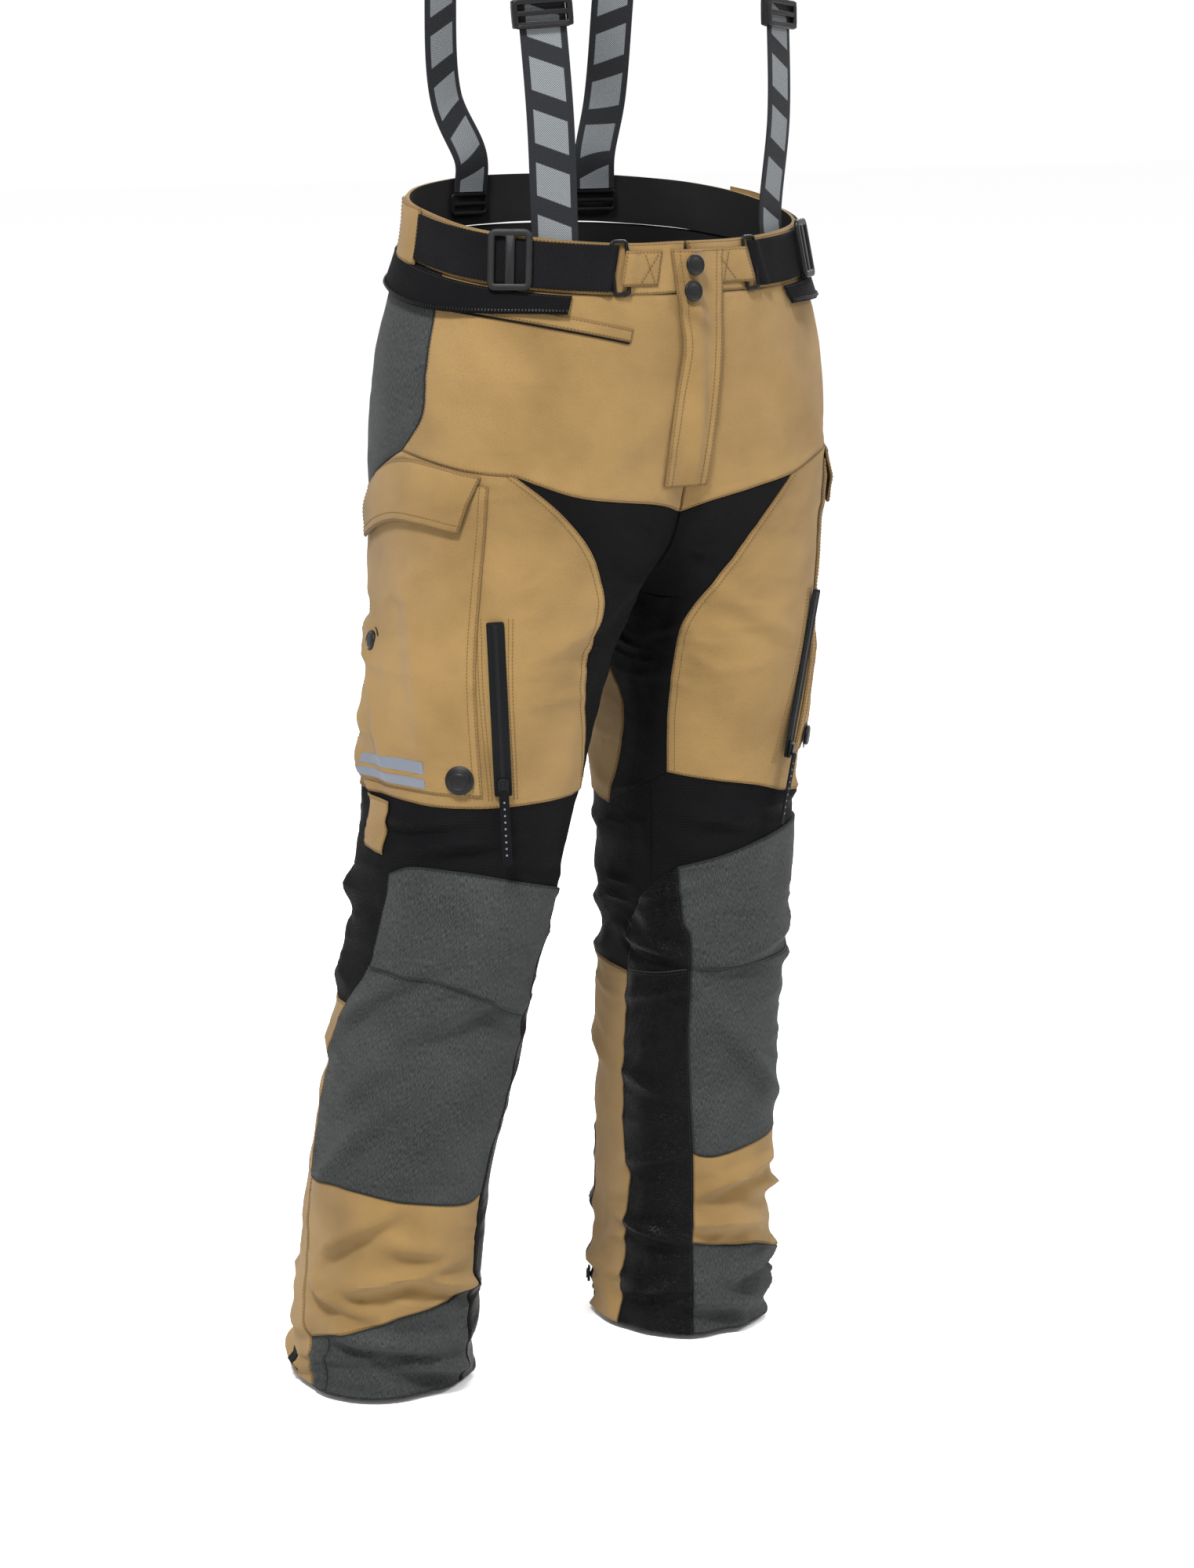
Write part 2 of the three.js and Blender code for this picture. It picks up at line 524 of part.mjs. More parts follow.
const RING_ANGLE = 26;
const BUCKLE_ANGLE = 60;
const STRAP_END = 98;
const STRAP_OUT = BAND_OUT + LAY_GAP;
function addAdjuster(side) {
  const n = side.name;
  const ringReach = THREE.MathUtils.radToDeg((RING.width / 2 + RING.bar) / WAIST_HALF_DEPTH);
  const point = (s, t, layer) => {
    const angle = lerp(RING_ANGLE + ringReach, STRAP_END, s);
    const level = lerp(WEBBING_WIDTH / 2 - 1, 1 - WEBBING_WIDTH / 2, t);
    return surface(side, angle, bandLevel(side, angle, level), STRAP_OUT + layer * WEBBING_THICK);
  };
  add(`adjuster_strap_${n}`, wall(point, 16, 1), WEBBING);
  const ringFrame = surfaceFrame(side, RING_ANGLE, bandLevel(side, RING_ANGLE, 0), BAND_OUT + LAY_GAP);
  const slotHeight = WEBBING_WIDTH + 1;
  const ringHeight = WEBBING_WIDTH + 2 * RING.above;
  const ring = plate(RING.width, ringHeight, RING.thick, 3, [[0, 0, RING.width - 2 * RING.bar, slotHeight]]);
  add(`adjuster_ring_${n}`, ring, METAL, ringFrame);
  const out = STRAP_OUT + WEBBING_THICK + RUN_GAP;
  const buckleFrame = surfaceFrame(side, BUCKLE_ANGLE, bandLevel(side, BUCKLE_ANGLE, 0), out);
  const slots = [-1, 1].map((way) => [way * BUCKLE.slot, 0, BUCKLE.slot, slotHeight]);
  const buckle = plate(BUCKLE.width, WEBBING_WIDTH + 2 * BUCKLE.above, BUCKLE.thick, 4, slots);
  add(`adjuster_buckle_${n}`, buckle, PLASTIC, buckleFrame);
}

// ---- Fly ----------------------------------------------------------------------------------------
// The front of the garment at a sideways place x, standing off by out.
function frontPoint(x, z, out) {
  const side = x >= 0 ? SIDES[0] : SIDES[1];
  const target = Math.max(Math.abs(x), CENTRE_GAP);
  let [low, high] = [-90, 90];
  for (let i = 0; i < 40; i += 1) {
    const middle = (low + high) / 2;
    if (Math.abs(surface(side, middle, z).x) < target) low = middle;
    else high = middle;
  }
  const point = surface(side, high, z);
  return new THREE.Vector3(x, point.y - out, z);
}

// A frame on the front: X to the wearer's left, Y up along it and Z out of it.
function frontFrame(x, z, out) {
  const step = 8;
  const across = frontPoint(x + step, z, 0).sub(frontPoint(x - step, z, 0)).normalize();
  const up = frontPoint(x, z + step, 0).sub(frontPoint(x, z - step, 0)).normalize();
  const normal = new THREE.Vector3().crossVectors(across, up).normalize();
  const seat = frontPoint(x, z, 0).addScaledVector(normal, out);
  const y = new THREE.Vector3().crossVectors(normal, across);
  return new THREE.Matrix4().makeBasis(across, y, normal).setPosition(seat);
}

// The fly zip lies on an arc about a far point behind the wearer, so that its slider can run along
// it. The arc passes the front at three heights and then stands off until it clears the front.
function flyArc() {
  const middle = (ZIP_TOP + ZIP_BOTTOM) / 2;
  const [a, b, c] = [ZIP_TOP, middle, ZIP_BOTTOM].map((z) => frontPoint(0, z, 0));
  const twice = 2 * (a.y * (b.z - c.z) + b.y * (c.z - a.z) + c.y * (a.z - b.z));
  const [aa, bb, cc] = [a, b, c].map((p) => p.y * p.y + p.z * p.z);
  const centre = new THREE.Vector3(0,
    (aa * (b.z - c.z) + bb * (c.z - a.z) + cc * (a.z - b.z)) / twice,
    (aa * (c.y - b.y) + bb * (a.y - c.y) + cc * (b.y - a.y)) / twice);
  const reach = (z) => Math.max(...[-ZIP_WIDTH / 2, 0, ZIP_WIDTH / 2].map((x) =>
    frontPoint(x, z, 0).distanceTo(new THREE.Vector3(x, centre.y, centre.z))));
  const heights = [0, 0.12, 0.25, 0.38, 0.5, 0.62, 0.75, 0.88, 1].map((t) => lerp(ZIP_TOP, ZIP_BOTTOM, t));
  const radius = Math.max(...heights.map(reach)) + RUN_GAP;
  const point = (x, angle, out) => new THREE.Vector3(x,
    centre.y - (radius + out) * Math.cos(angle), centre.z + (radius + out) * Math.sin(angle));
  const angleAt = (z) => Math.asin((z - centre.z) / radius);
  return { radius, point, top: angleAt(ZIP_TOP), bottom: angleAt(ZIP_BOTTOM) };
}

const FLY_TOP = -10;
const FLY_BOTTOM = rise(0.685);
const FLY_FREE = line([[-18, 0], [-15, -55], [-7, -80], [-19, -130], [-26, -180], [-29, -215]]);
const FLY_SEWN = { top: 40, bottom: 18 };
const FLY_FOOT = BAND_OUT + LAY_GAP; // the sewn edge lies on the waistband
const FLY_RISE = 6.4; // room under the flap for the zip slider
const FLY_SLIDER_THICK = 2.2;
const ZIP_TOP = -62;
const ZIP_BOTTOM = rise(0.66);
function addFly() {
  const flapOut = (s) => FLY_FOOT + FLY_RISE * THREE.MathUtils.smoothstep(1 - s, 0.05, 0.45);
  const flap = (s, t, layer) => {
    const z = lerp(FLY_TOP, FLY_BOTTOM, t);
    const x = lerp(FLY_FREE(t)[0], lerp(FLY_SEWN.top, FLY_SEWN.bottom, t), s);
    return frontPoint(x, z, flapOut(s) + layer * FLAP_WALL);
  };
  add("fly_flap", wall(flap, 6, 8), TAN);
  const arc = flyArc();
  const tape = (s, t, layer) =>
    arc.point(lerp(-ZIP_WIDTH / 2, ZIP_WIDTH / 2, s), lerp(arc.top, arc.bottom, t), layer * ZIP_THICK);
  add("fly_zip", wall(tape, 2, 12), STRETCH);
  const start = arc.top - SLIDER_LENGTH / arc.radius;
  const out = arc.point(0, start, 1).sub(arc.point(0, start, 0));
  const sliderFrame = new THREE.Matrix4().makeBasis(
    new THREE.Vector3(1, 0, 0),
    new THREE.Vector3().crossVectors(out, new THREE.Vector3(1, 0, 0)),
    out,
  ).setPosition(arc.point(0, start, ZIP_THICK + RUN_GAP));
  add("fly_zip_slider", plate(SLIDER_WIDTH, SLIDER_LENGTH, FLY_SLIDER_THICK, 3), METAL, sliderFrame);
  const capOut = FLY_FOOT + FLY_RISE + FLAP_WALL + RUN_GAP + SNAP_THICK / 2;
  add("fly_snap_cap_upper", snapCap(), PLASTIC, frontFrame(0, -25, capOut));
  add("fly_snap_cap_lower", snapCap(), PLASTIC, frontFrame(-4, -48, capOut));
}

// ---- Cargo pockets, vent zips and their snaps ---------------------------------------------------
const VENT_TOP = [38, leg(0.012)];
const VENT_BOTTOM = [17.5, leg(0.225)];
const POCKET_BACK = 126;
const POCKET_FRONT = line([[52, rise(0.66)], [45, leg(0.01)], [37, leg(0.12)], [28, leg(0.226)]]);
const pocketOut = (s, t) => POCKET_DEPTH + POCKET_SWELL * Math.sin(Math.PI * s) * Math.sin(Math.PI * t);
function addThighFittings(side) {
  const n = side.name;
  const pocket = coons({
    top: line([[52, rise(0.66)], [90, rise(0.63)], [POCKET_BACK, rise(0.76)]]),
    bottom: line([[28, leg(0.226)], [80, leg(0.222)], [POCKET_BACK, leg(0.22)]]),
    left: POCKET_FRONT,
    right: line([[POCKET_BACK, rise(0.76)], [POCKET_BACK + 2, leg(0.1)], [POCKET_BACK, leg(0.22)]]),
  });
  add(`cargo_pocket_${n}`, panel(side, pocket, 8, 5, 1.5 * LAY_GAP, pocketOut), TAN);
  const flapIn = POCKET_DEPTH + 0.7 * POCKET_SWELL + LAY_GAP;
  const flap = coons({
    top: line([[55, rise(0.632)], [88, rise(0.6)], [118, rise(0.7)]]),
    bottom: line([[59, rise(0.79)], [88, rise(0.77)], [116, rise(0.84)]]),
    left: line([[55, rise(0.632)], [59, rise(0.79)]]),
    right: line([[118, rise(0.7)], [116, rise(0.84)]]),
  });
  add(`pocket_flap_${n}`, panel(side, flap, 6, 1, flapIn, flapIn + FLAP_WALL), TAN);

  // Each snap sits on the pocket, at a share of the way across it and down it.
  const snap = (place, angle, z, share) => {
    const out = pocketOut(...share) + RUN_GAP + SNAP_THICK / 2;
    add(`vent_snap_${place}_${n}`, snapCap(), PLASTIC, surfaceFrame(side, angle, z, out));
  };
  snap("front", 40, leg(0.205), [0.2, 0.92]);
  snap("rear", 110, leg(0.055), [0.8, 0.45]);
  addVentZip(side);
}

function addVentZip(side) {
  const n = side.name;
  // The vent zip is straight. It stands off the thigh by as much as its middle needs to clear it.
  const [high, low] = [VENT_TOP, VENT_BOTTOM];
  const [top, bottom] = [surface(side, ...high), surface(side, ...low)];
  const along = top.clone().sub(bottom).normalize();
  const out = new THREE.Vector3().setFromMatrixColumn(surfaceFrame(side, 28, leg(0.11), 0), 2);
  const across = new THREE.Vector3().crossVectors(along, out).normalize();
  const facing = new THREE.Vector3().crossVectors(across, along);
  const bulge = Math.max(...[0.1, 0.3, 0.5, 0.7, 0.9].map((t) =>
    surface(side, lerp(low[0], high[0], t), lerp(low[1], high[1], t)).sub(bottom).dot(facing)));
  const frame = (place, lift) => {
    const seat = place.clone().addScaledVector(facing, bulge + RUN_GAP + lift);
    return new THREE.Matrix4().makeBasis(across, along, facing).setPosition(seat);
  };
  const length = top.distanceTo(bottom);
  add(`vent_zip_${n}`, plate(ZIP_WIDTH, length, ZIP_THICK, 2), STRETCH,
    frame(top.clone().lerp(bottom, 0.5), 0));
  const slider = bottom.clone().addScaledVector(along, SLIDER_LENGTH / 2);
  add(`vent_zip_slider_${n}`, plate(SLIDER_WIDTH, SLIDER_LENGTH, SLIDER_THICK, 3), METAL,
    frame(slider, ZIP_THICK + RUN_GAP));
  const pull = bottom.clone().addScaledVector(along, SLIDER_LENGTH / 3 - PULL_LENGTH / 2);
  add(`vent_zip_pull_${n}`, plate(PULL_WIDTH, PULL_LENGTH, PULL_THICK, 2.5), WEBBING,
    frame(pull, ZIP_THICK + SLIDER_THICK + 2 * RUN_GAP));
}

// ---- Calf zip sliders ---------------------------------------------------------------------------
function addCalfSlider(side) {
  const frame = surfaceFrame(side, 228, leg(0.96), RUN_GAP);
  const slider = plate(SLIDER_WIDTH, SLIDER_LENGTH, SLIDER_THICK, 3);
  add(`calf_zip_slider_${side.name}`, slider, METAL, frame);
}

// ---- Braces -------------------------------------------------------------------------------------
const CLIP_OUT = BAND_OUT - BAND_WALL - 2.4 - CLIP.thick; // clear of the waistband's hollow inside
const BRACE_AT = { front: 46, back: 150 };
const BRIDGE_REACH = 100.2; // from the middle plane to the braces' middle line at the bridge
const BRACE_STRAIGHT = { low: [126, -101, 105], high: [134, -85, 300] }; // where the adjuster runs
function addBrace(side) {
  const n = side.name;
  const vector = ([x, y, z]) => new THREE.Vector3(side.sign * x, y, z);
  const clipLevel = { front: -8, back: -2 };
  const ends = {};
  for (const place of ["front", "back"]) {
    const angle = BRACE_AT[place];
    const z = bandLevel(side, angle, clipLevel[place]);
    const frame = surfaceFrame(side, angle, z, CLIP_OUT);
    const slots = [-5, 4].map((y) => [0, y, CLIP.width - 8, CLIP.slot]);
    add(`${place}_clip_${n}`, plate(CLIP.width, CLIP.height, CLIP.thick, 3, slots), METAL, frame);
    const up = new THREE.Vector3().setFromMatrixColumn(frame, 1);
    const out = new THREE.Vector3().setFromMatrixColumn(frame, 2);
    const tip = new THREE.Vector3().setFromMatrixPosition(frame);
    tip.addScaledVector(up, CLIP.height / 2 + RUN_GAP);
    ends[place] = { tip, rim: tip.clone().addScaledVector(up, 30), out };
  }
  const low = vector(BRACE_STRAIGHT.low);
  const high = vector(BRACE_STRAIGHT.high);
  const path = [
    ends.front.tip,
    ends.front.rim,
    low,
    low.clone().lerp(high, 0.5),
    high,
    vector([130, -58, SHOULDER_HEIGHT - 62]),
    vector([121, -6, SHOULDER_HEIGHT]),
    vector([111, 58, SHOULDER_HEIGHT - 30]),
    vector([103, 106, SHOULDER_HEIGHT - 120]),
    vector([98, 120, BRIDGE_HEIGHT - 70]),
    vector([90, 124, 120]),
    ends.back.rim,
    ends.back.tip,
  ];
  const chest = vector([0.418, -0.909, 0]);
  const back = vector([0.25, 0.968, 0]);
  const over = vector([0.2, 0, 0.98]);
  const normals = [ends.front.out, ends.front.out, chest, chest, chest, vector([0.35, -0.75, 0.5]), over,
    vector([0.2, 0.6, 0.75]), back, back, back, ends.back.out, ends.back.out];
  add(`suspender_strap_${n}`, ribbon(path, normals, WEBBING_WIDTH, WEBBING_THICK, 30), WEBBING);

  // The adjuster frames the strap, with running room all round it.
  const along = high.clone().sub(low).normalize();
  const out = chest.clone().addScaledVector(along, -chest.dot(along)).normalize();
  const beside = new THREE.Vector3().crossVectors(along, out);
  const [slotWidth, slotHeight] = [WEBBING_WIDTH + 2 * ADJUSTER.room, WEBBING_THICK + 2 * ADJUSTER.room];
  const frame = plate(slotWidth + 2 * ADJUSTER.frame - 2 * ADJUSTER.room, WEBBING_THICK + 8, ADJUSTER.length,
    2, [[0, 0, slotWidth, slotHeight]]);
  const seat = low.clone().lerp(high, 0.47).addScaledVector(out, WEBBING_THICK / 2);
  // The plate's Z runs along the strap, its X across it and its Y out of it.
  const matrix = new THREE.Matrix4().makeBasis(beside.negate(), out, along);
  add(`suspender_adjuster_${n}`, frame, PLASTIC, matrix.setPosition(seat));
}

function addBackBridge() {
  const half = BRIDGE_REACH - WEBBING_WIDTH / 2;
  const bridge = new THREE.BoxGeometry(2 * half, WEBBING_THICK, WEBBING_WIDTH);
  add("suspender_bridge", bridge, WEBBING, new THREE.Matrix4().makeTranslation(0, 121, BRIDGE_HEIGHT));
}

for (const side of SIDES) {
  const knee = { name: "knee_stretch_panel", geometry: stretchRing(side), material: STRETCH };
  sew(side, [...upperPanels(side), ...lowerPanels(side), knee]);
  addProtector(side);
  addAdjuster(side);
  addThighFittings(side);
  addCalfSlider(side);
  addBrace(side);
}
addWaistband();
addFly();
addBackBridge();

export default garment;
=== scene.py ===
"""Riding overtrousers with braces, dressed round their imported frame.

The cloth is one surface of superellipse sections, as in the frame. Each panel is a closed wall on a patch of
that surface, with folds, rolled edges and real stitches, and the fittings are worked out the same way. Sizes are
in millimetres here and become metres when a mesh is made. Angles run from 0 at the front of a leg over 90 on its
outer side to 180 at the back, and heights from 0 at the middle of the waistband.
"""

import logging
import math
from dataclasses import dataclass, field, replace
from enum import Enum
from typing import Any, Callable, Iterable, Sequence

import bmesh
import bpy
import numpy as np
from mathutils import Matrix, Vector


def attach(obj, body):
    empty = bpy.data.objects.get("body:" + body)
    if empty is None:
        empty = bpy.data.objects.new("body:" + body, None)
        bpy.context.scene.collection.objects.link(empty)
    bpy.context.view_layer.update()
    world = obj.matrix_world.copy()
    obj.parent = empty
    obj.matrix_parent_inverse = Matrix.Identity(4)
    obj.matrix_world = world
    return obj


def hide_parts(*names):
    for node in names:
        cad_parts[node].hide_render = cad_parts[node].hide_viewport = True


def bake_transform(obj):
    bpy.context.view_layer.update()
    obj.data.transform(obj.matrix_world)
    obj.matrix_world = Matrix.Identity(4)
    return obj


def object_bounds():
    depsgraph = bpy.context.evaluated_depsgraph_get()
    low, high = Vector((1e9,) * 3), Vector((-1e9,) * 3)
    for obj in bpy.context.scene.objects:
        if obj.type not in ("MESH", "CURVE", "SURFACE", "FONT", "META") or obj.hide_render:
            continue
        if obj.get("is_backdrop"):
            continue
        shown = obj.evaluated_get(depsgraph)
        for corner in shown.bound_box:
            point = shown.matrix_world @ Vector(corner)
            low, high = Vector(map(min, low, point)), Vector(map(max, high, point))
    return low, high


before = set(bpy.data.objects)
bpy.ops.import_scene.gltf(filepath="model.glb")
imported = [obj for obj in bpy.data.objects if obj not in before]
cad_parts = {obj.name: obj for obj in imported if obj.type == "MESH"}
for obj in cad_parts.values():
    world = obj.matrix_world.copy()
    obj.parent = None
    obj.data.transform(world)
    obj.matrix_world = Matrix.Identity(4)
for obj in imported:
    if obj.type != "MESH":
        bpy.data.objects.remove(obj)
log = logging.getLogger("overtrousers")

Array = np.ndarray
Edge = Callable[[Array], Array]
MM = 0.001


class Side(Enum):
    """A leg with its half of the hips, by the sign of X on it."""

    LEFT = 1
    RIGHT = -1

    @property
    def label(self) -> str:
        """The side's word in node names."""
        return self.name.lower()


# ---- Sizes ------------------------------------------------------------------------------------------------


@dataclass(frozen=True)
class Cut:
    """Driving sizes of the trousers, as in the frame."""

    rise: float = 325.0
    inseam: float = 737.0
    waist_width: float = 191.0
    waist_depth: float = 130.0
    thigh: float = 103.0
    knee: float = 88.0
    hem: float = 82.0
    squareness: float = 2.25
    tilt: float = 0.2
    centre_gap: float = 0.8
    band_height: float = 45.0
    band_out: float = 1.0
    webbing: float = 42.0
    cloth: float = 2.4

    def up(self, share: float) -> float:
        """Height of a share of the way from waist to crotch."""
        return -self.rise * share

    def leg(self, share: float) -> float:
        """Height of a share of the way from crotch to hem."""
        return -self.rise - self.inseam * share


CUT = Cut()
UP, LEG = CUT.up, CUT.leg


def smooth(value: Array, low: float, high: float) -> Array:
    """A step from 0 at low to 1 at high, level at both ends."""
    t = np.clip((value - low) / (high - low), 0.0, 1.0)
    return t * t * (3.0 - 2.0 * t)


def bump(value: Array, middle: float, reach: float) -> Array:
    """A bell of height 1 about middle that falls off over reach."""
    return np.exp(-(((value - middle) / reach) ** 2))


def wrap(degrees: Array) -> Array:
    """An angle's shortest way round, from -180 to 180."""
    return (degrees + 180.0) % 360.0 - 180.0


def unit(vectors: Array) -> Array:
    """Vectors scaled to length 1."""
    return vectors / np.maximum(np.linalg.norm(vectors, axis=-1, keepdims=True), 1e-9)


class Noise:
    """Repeatable smooth noise from -1 to 1: random values on a lattice, joined by a quintic blend."""

    def __init__(self, seed: int) -> None:
        """Fills the lattice.

        Args:
            seed: picks the random values.
        """
        self.values = np.random.default_rng(seed).uniform(-1.0, 1.0, 4096)

    def at(self, points: Array) -> Array:
        """The noise at each point of the last axis' three numbers."""
        cell = np.floor(points).astype(np.int64)
        part = points - cell
        blend = part * part * part * (part * (part * 6.0 - 15.0) + 10.0)
        total = np.zeros(points.shape[:-1])
        for corner in np.ndindex(2, 2, 2):
            spot = cell + np.array(corner)
            mixed = spot[..., 0] * 73856093 ^ spot[..., 1] * 19349663 ^ spot[..., 2] * 83492791
            weight = np.where(np.array(corner) == 1, blend, 1.0 - blend).prod(-1)
            total += weight * self.values[mixed % 4096]
        return total


# ---- The body surface -------------------------------------------------------------------------------------


class Body:
    """The surface that the garment takes on its wearer, and points and directions on it."""

    def __init__(self, cut: Cut) -> None:
        """Lays out the sections from the driving sizes.

        Args:
            cut: the driving sizes.
        """
        self.cut = cut
        width, depth, thigh, knee, hem = cut.waist_width, cut.waist_depth, cut.thigh, cut.knee, cut.hem
        # Height, right centre, left centre, outer, front and back half widths, right and left gap.
        rows = [
            (60, 0, 0, 0, 0, width - 1, depth - 2, depth - 2, -190, -190),
            (0, 4, 0, 4, 0, width, depth, depth, -190, -190),
            (UP(0.34), 32, 0, 32, 0, width - 4, depth + 12, depth + 20, -175, -175),
            (UP(0.615), 64, -2, 60, -2, thigh + 57, thigh + 37, thigh + 53, -105, -105),
            (UP(0.83), 90, -4, 80, -4, thigh + 29, thigh + 29, thigh + 45, -48, -48),
            (LEG(0), 110, -6, 92, -6, thigh + 11, thigh + 21, thigh + 33, 0, 0),
            (LEG(0.1), 134, -8, 101, -8, thigh, thigh + 10, thigh + 17, 30, 5),
            (LEG(0.265), 160, -12, 103, -6, knee + 6, knee + 12, knee + 14, 66, 10),
            (LEG(0.427), 186, -14, 99, -10, knee, knee + 6, knee + 8, 100, 14),
            (LEG(0.59), 206, 0, 99, -4, knee - 4, knee, knee + 4, 122, 16),
            (LEG(0.753), 222, 16, 102, 4, hem - 1, hem + 3, hem + 8, 141, 21),
            (LEG(1.024), 234, 34, 106, 16, hem, hem + 4, hem + 10, 152, 24),
        ]
        self.rows = np.array(rows[::-1], float)

    def _section(self, side: Side, z: Array) -> tuple[Array, ...]:
        """The section at a height: each value smoothed over height by a cubic through the rows."""
        heights, rows = self.rows[:, 0], self.rows
        last = len(heights) - 1
        z = np.clip(z, heights[0], heights[-1])
        k = np.clip(np.searchsorted(heights, z, side="left") - 1, 0, last - 1)
        below, above = np.maximum(np.arange(last + 1) - 1, 0), np.minimum(np.arange(last + 1) + 1, last)
        slopes = (rows[above] - rows[below]) / (heights[above] - heights[below])[:, None]
        step = (heights[k + 1] - heights[k])[..., None]
        t = (z - heights[k])[..., None] / step
        value = (
            (2 * t**3 - 3 * t**2 + 1) * rows[k]
            + (t**3 - 2 * t**2 + t) * step * slopes[k]
            + (-2 * t**3 + 3 * t**2) * rows[k + 1]
            + (t**3 - t**2) * step * slopes[k + 1]
        )
        across, along, gap = (1, 2, 8) if side is Side.RIGHT else (3, 4, 9)
        centre = value[..., across]
        return centre, value[..., along], value[..., 5], centre - value[..., gap], value[..., 6], value[..., 7]

    def point(self, side: Side, angle: Array, z: Array, out: Array | float = 0.0) -> Array:
        """Points on one half at angles in degrees and heights, standing off by out.

        The reach of a superellipse at an angle is (|sin/w|^n + |cos/d|^n)^(-1/n).
        """
        angle, z, out = np.broadcast_arrays(np.asarray(angle, float), np.asarray(z, float), out)
        cx, cy, outer, inner, front, back = self._section(side, z)
        sin, cos = np.sin(np.radians(angle)), np.cos(np.radians(angle))
        n = self.cut.squareness
        wide = np.abs(sin / np.where(sin > 0, outer, inner)) ** n
        deep = np.abs(cos / np.where(cos > 0, front, back)) ** n
        reach = (wide + deep) ** (-1 / n) + out
        across = np.maximum(cx + reach * sin, self.cut.centre_gap / 2)
        return np.stack([side.value * across, cy - reach * cos, z], -1)

    def frame(self, side: Side, angle: float, z: float, out: float) -> Array:
        """A frame on the surface: X to the wearer's left along it, Y up along it, Z out of it, then its origin."""
        turn = self.point(side, angle + 1, z) - self.point(side, angle - 1, z)
        x = unit(turn * side.value)
        up = self.point(side, angle, z + 4) - self.point(side, angle, z - 4)
        normal = unit(np.cross(x, up))
        return np.stack([x, np.cross(normal, x), normal, self.point(side, angle, z) + normal * out])

    def band_level(self, side: Side, angle: Array, level: Array | float) -> Array:
        """Height of a level measured from the waistband's middle line, which tilts with the waist."""
        return level + self.cut.tilt * self.point(side, angle, np.zeros_like(np.asarray(angle, float)))[..., 1]

    def meeting(self, side: Side, z: Array, far: float, near: float) -> Array:
        """The angle at which one half meets the middle plane, found by halving between two angles."""
        z = np.asarray(z, float)
        low, high = np.full_like(z, far), np.full_like(z, near)
        for _ in range(40):
            middle = (low + high) / 2
            at_plane = np.abs(self.point(side, middle, z)[..., 0]) <= self.cut.centre_gap / 2 + 1e-6
            low, high = np.where(at_plane, middle, low), np.where(at_plane, high, middle)
        return high

    def front_angle(self, side: Side, z: Array) -> Array:
        """The angle of the middle line at the front."""
        return self.meeting(side, z, -90.0, 0.0)

    def back_angle(self, side: Side, z: Array) -> Array:
        """The angle of the middle line at the back."""
        return self.meeting(side, z, 270.0, 180.0)

    def angle_at(self, across: Array, z: Array) -> Array:
        """The angle of the front at a distance from the middle plane, found by halving."""
        across, z = np.broadcast_arrays(np.asarray(across, float), np.asarray(z, float))
        target = np.maximum(np.abs(across), self.cut.centre_gap)
        found = np.zeros_like(target)
        for side in Side:
            low, high = np.full_like(target, -90.0), np.full_like(target, 90.0)
            for _ in range(40):
                middle = (low + high) / 2
                short = np.abs(self.point(side, middle, z)[..., 0]) < target
                low, high = np.where(short, middle, low), np.where(short, high, middle)
            found = np.where((across >= 0) == (side is Side.LEFT), high, found)
        return found

    def front(self, across: Array, z: Array, out: Array | float) -> Array:
        """Points on the front at a distance from the middle plane, standing off forwards by out."""
        across, z, out = np.broadcast_arrays(np.asarray(across, float), np.asarray(z, float), out)
        angle = self.angle_at(across, z)
        left, right = self.point(Side.LEFT, angle, z), self.point(Side.RIGHT, angle, z)
        depth = np.where(across >= 0, left[..., 1], right[..., 1])
        return np.stack([across, depth - out, z], -1)

    def front_frame(self, across: float, z: float, out: float) -> Array:
        """A frame on the front: X to the wearer's left, Y up, Z out of it, then its origin."""
        step = 8.0
        x = unit(self.front(across + step, z, 0.0) - self.front(across - step, z, 0.0))
        up = unit(self.front(across, z + step, 0.0) - self.front(across, z - step, 0.0))
        normal = unit(np.cross(x, up))
        return np.stack([x, np.cross(normal, x), normal, self.front(across, z, 0.0) + normal * out])


# ---- Folds ------------------------------------------------------------------------------------------------


@dataclass(frozen=True)
class Fold:
    """One fold in the cloth: a ridge with a hollow beside it."""

    angle: float
    z: float
    tilt: float  # degrees that the ridge climbs towards larger angles
    length: float
    width: float
    height: float
    bow: float = 0.0  # how far its ends hang below its middle

    def relief(self, angle: Array, z: Array, radius: float) -> Array:
        """The ridge's height: a bell across it less a wider, later bell, fading towards its ends."""
        across = np.radians(wrap(angle - self.angle)) * radius
        rise = z - self.z
        cos, sin = math.cos(math.radians(self.tilt)), math.sin(math.radians(self.tilt))
        along = across * cos + rise * sin
        beside = rise * cos - across * sin + self.bow * (along / self.length) ** 2
        ends = np.exp(-((np.abs(along) / (0.55 * self.length)) ** 3))
        width = 0.85 * self.width
        ridge = bump(beside, 0.0, width) - 0.55 * bump(beside, -1.7 * width, 1.2 * width)
        return self.height * ridge * ends


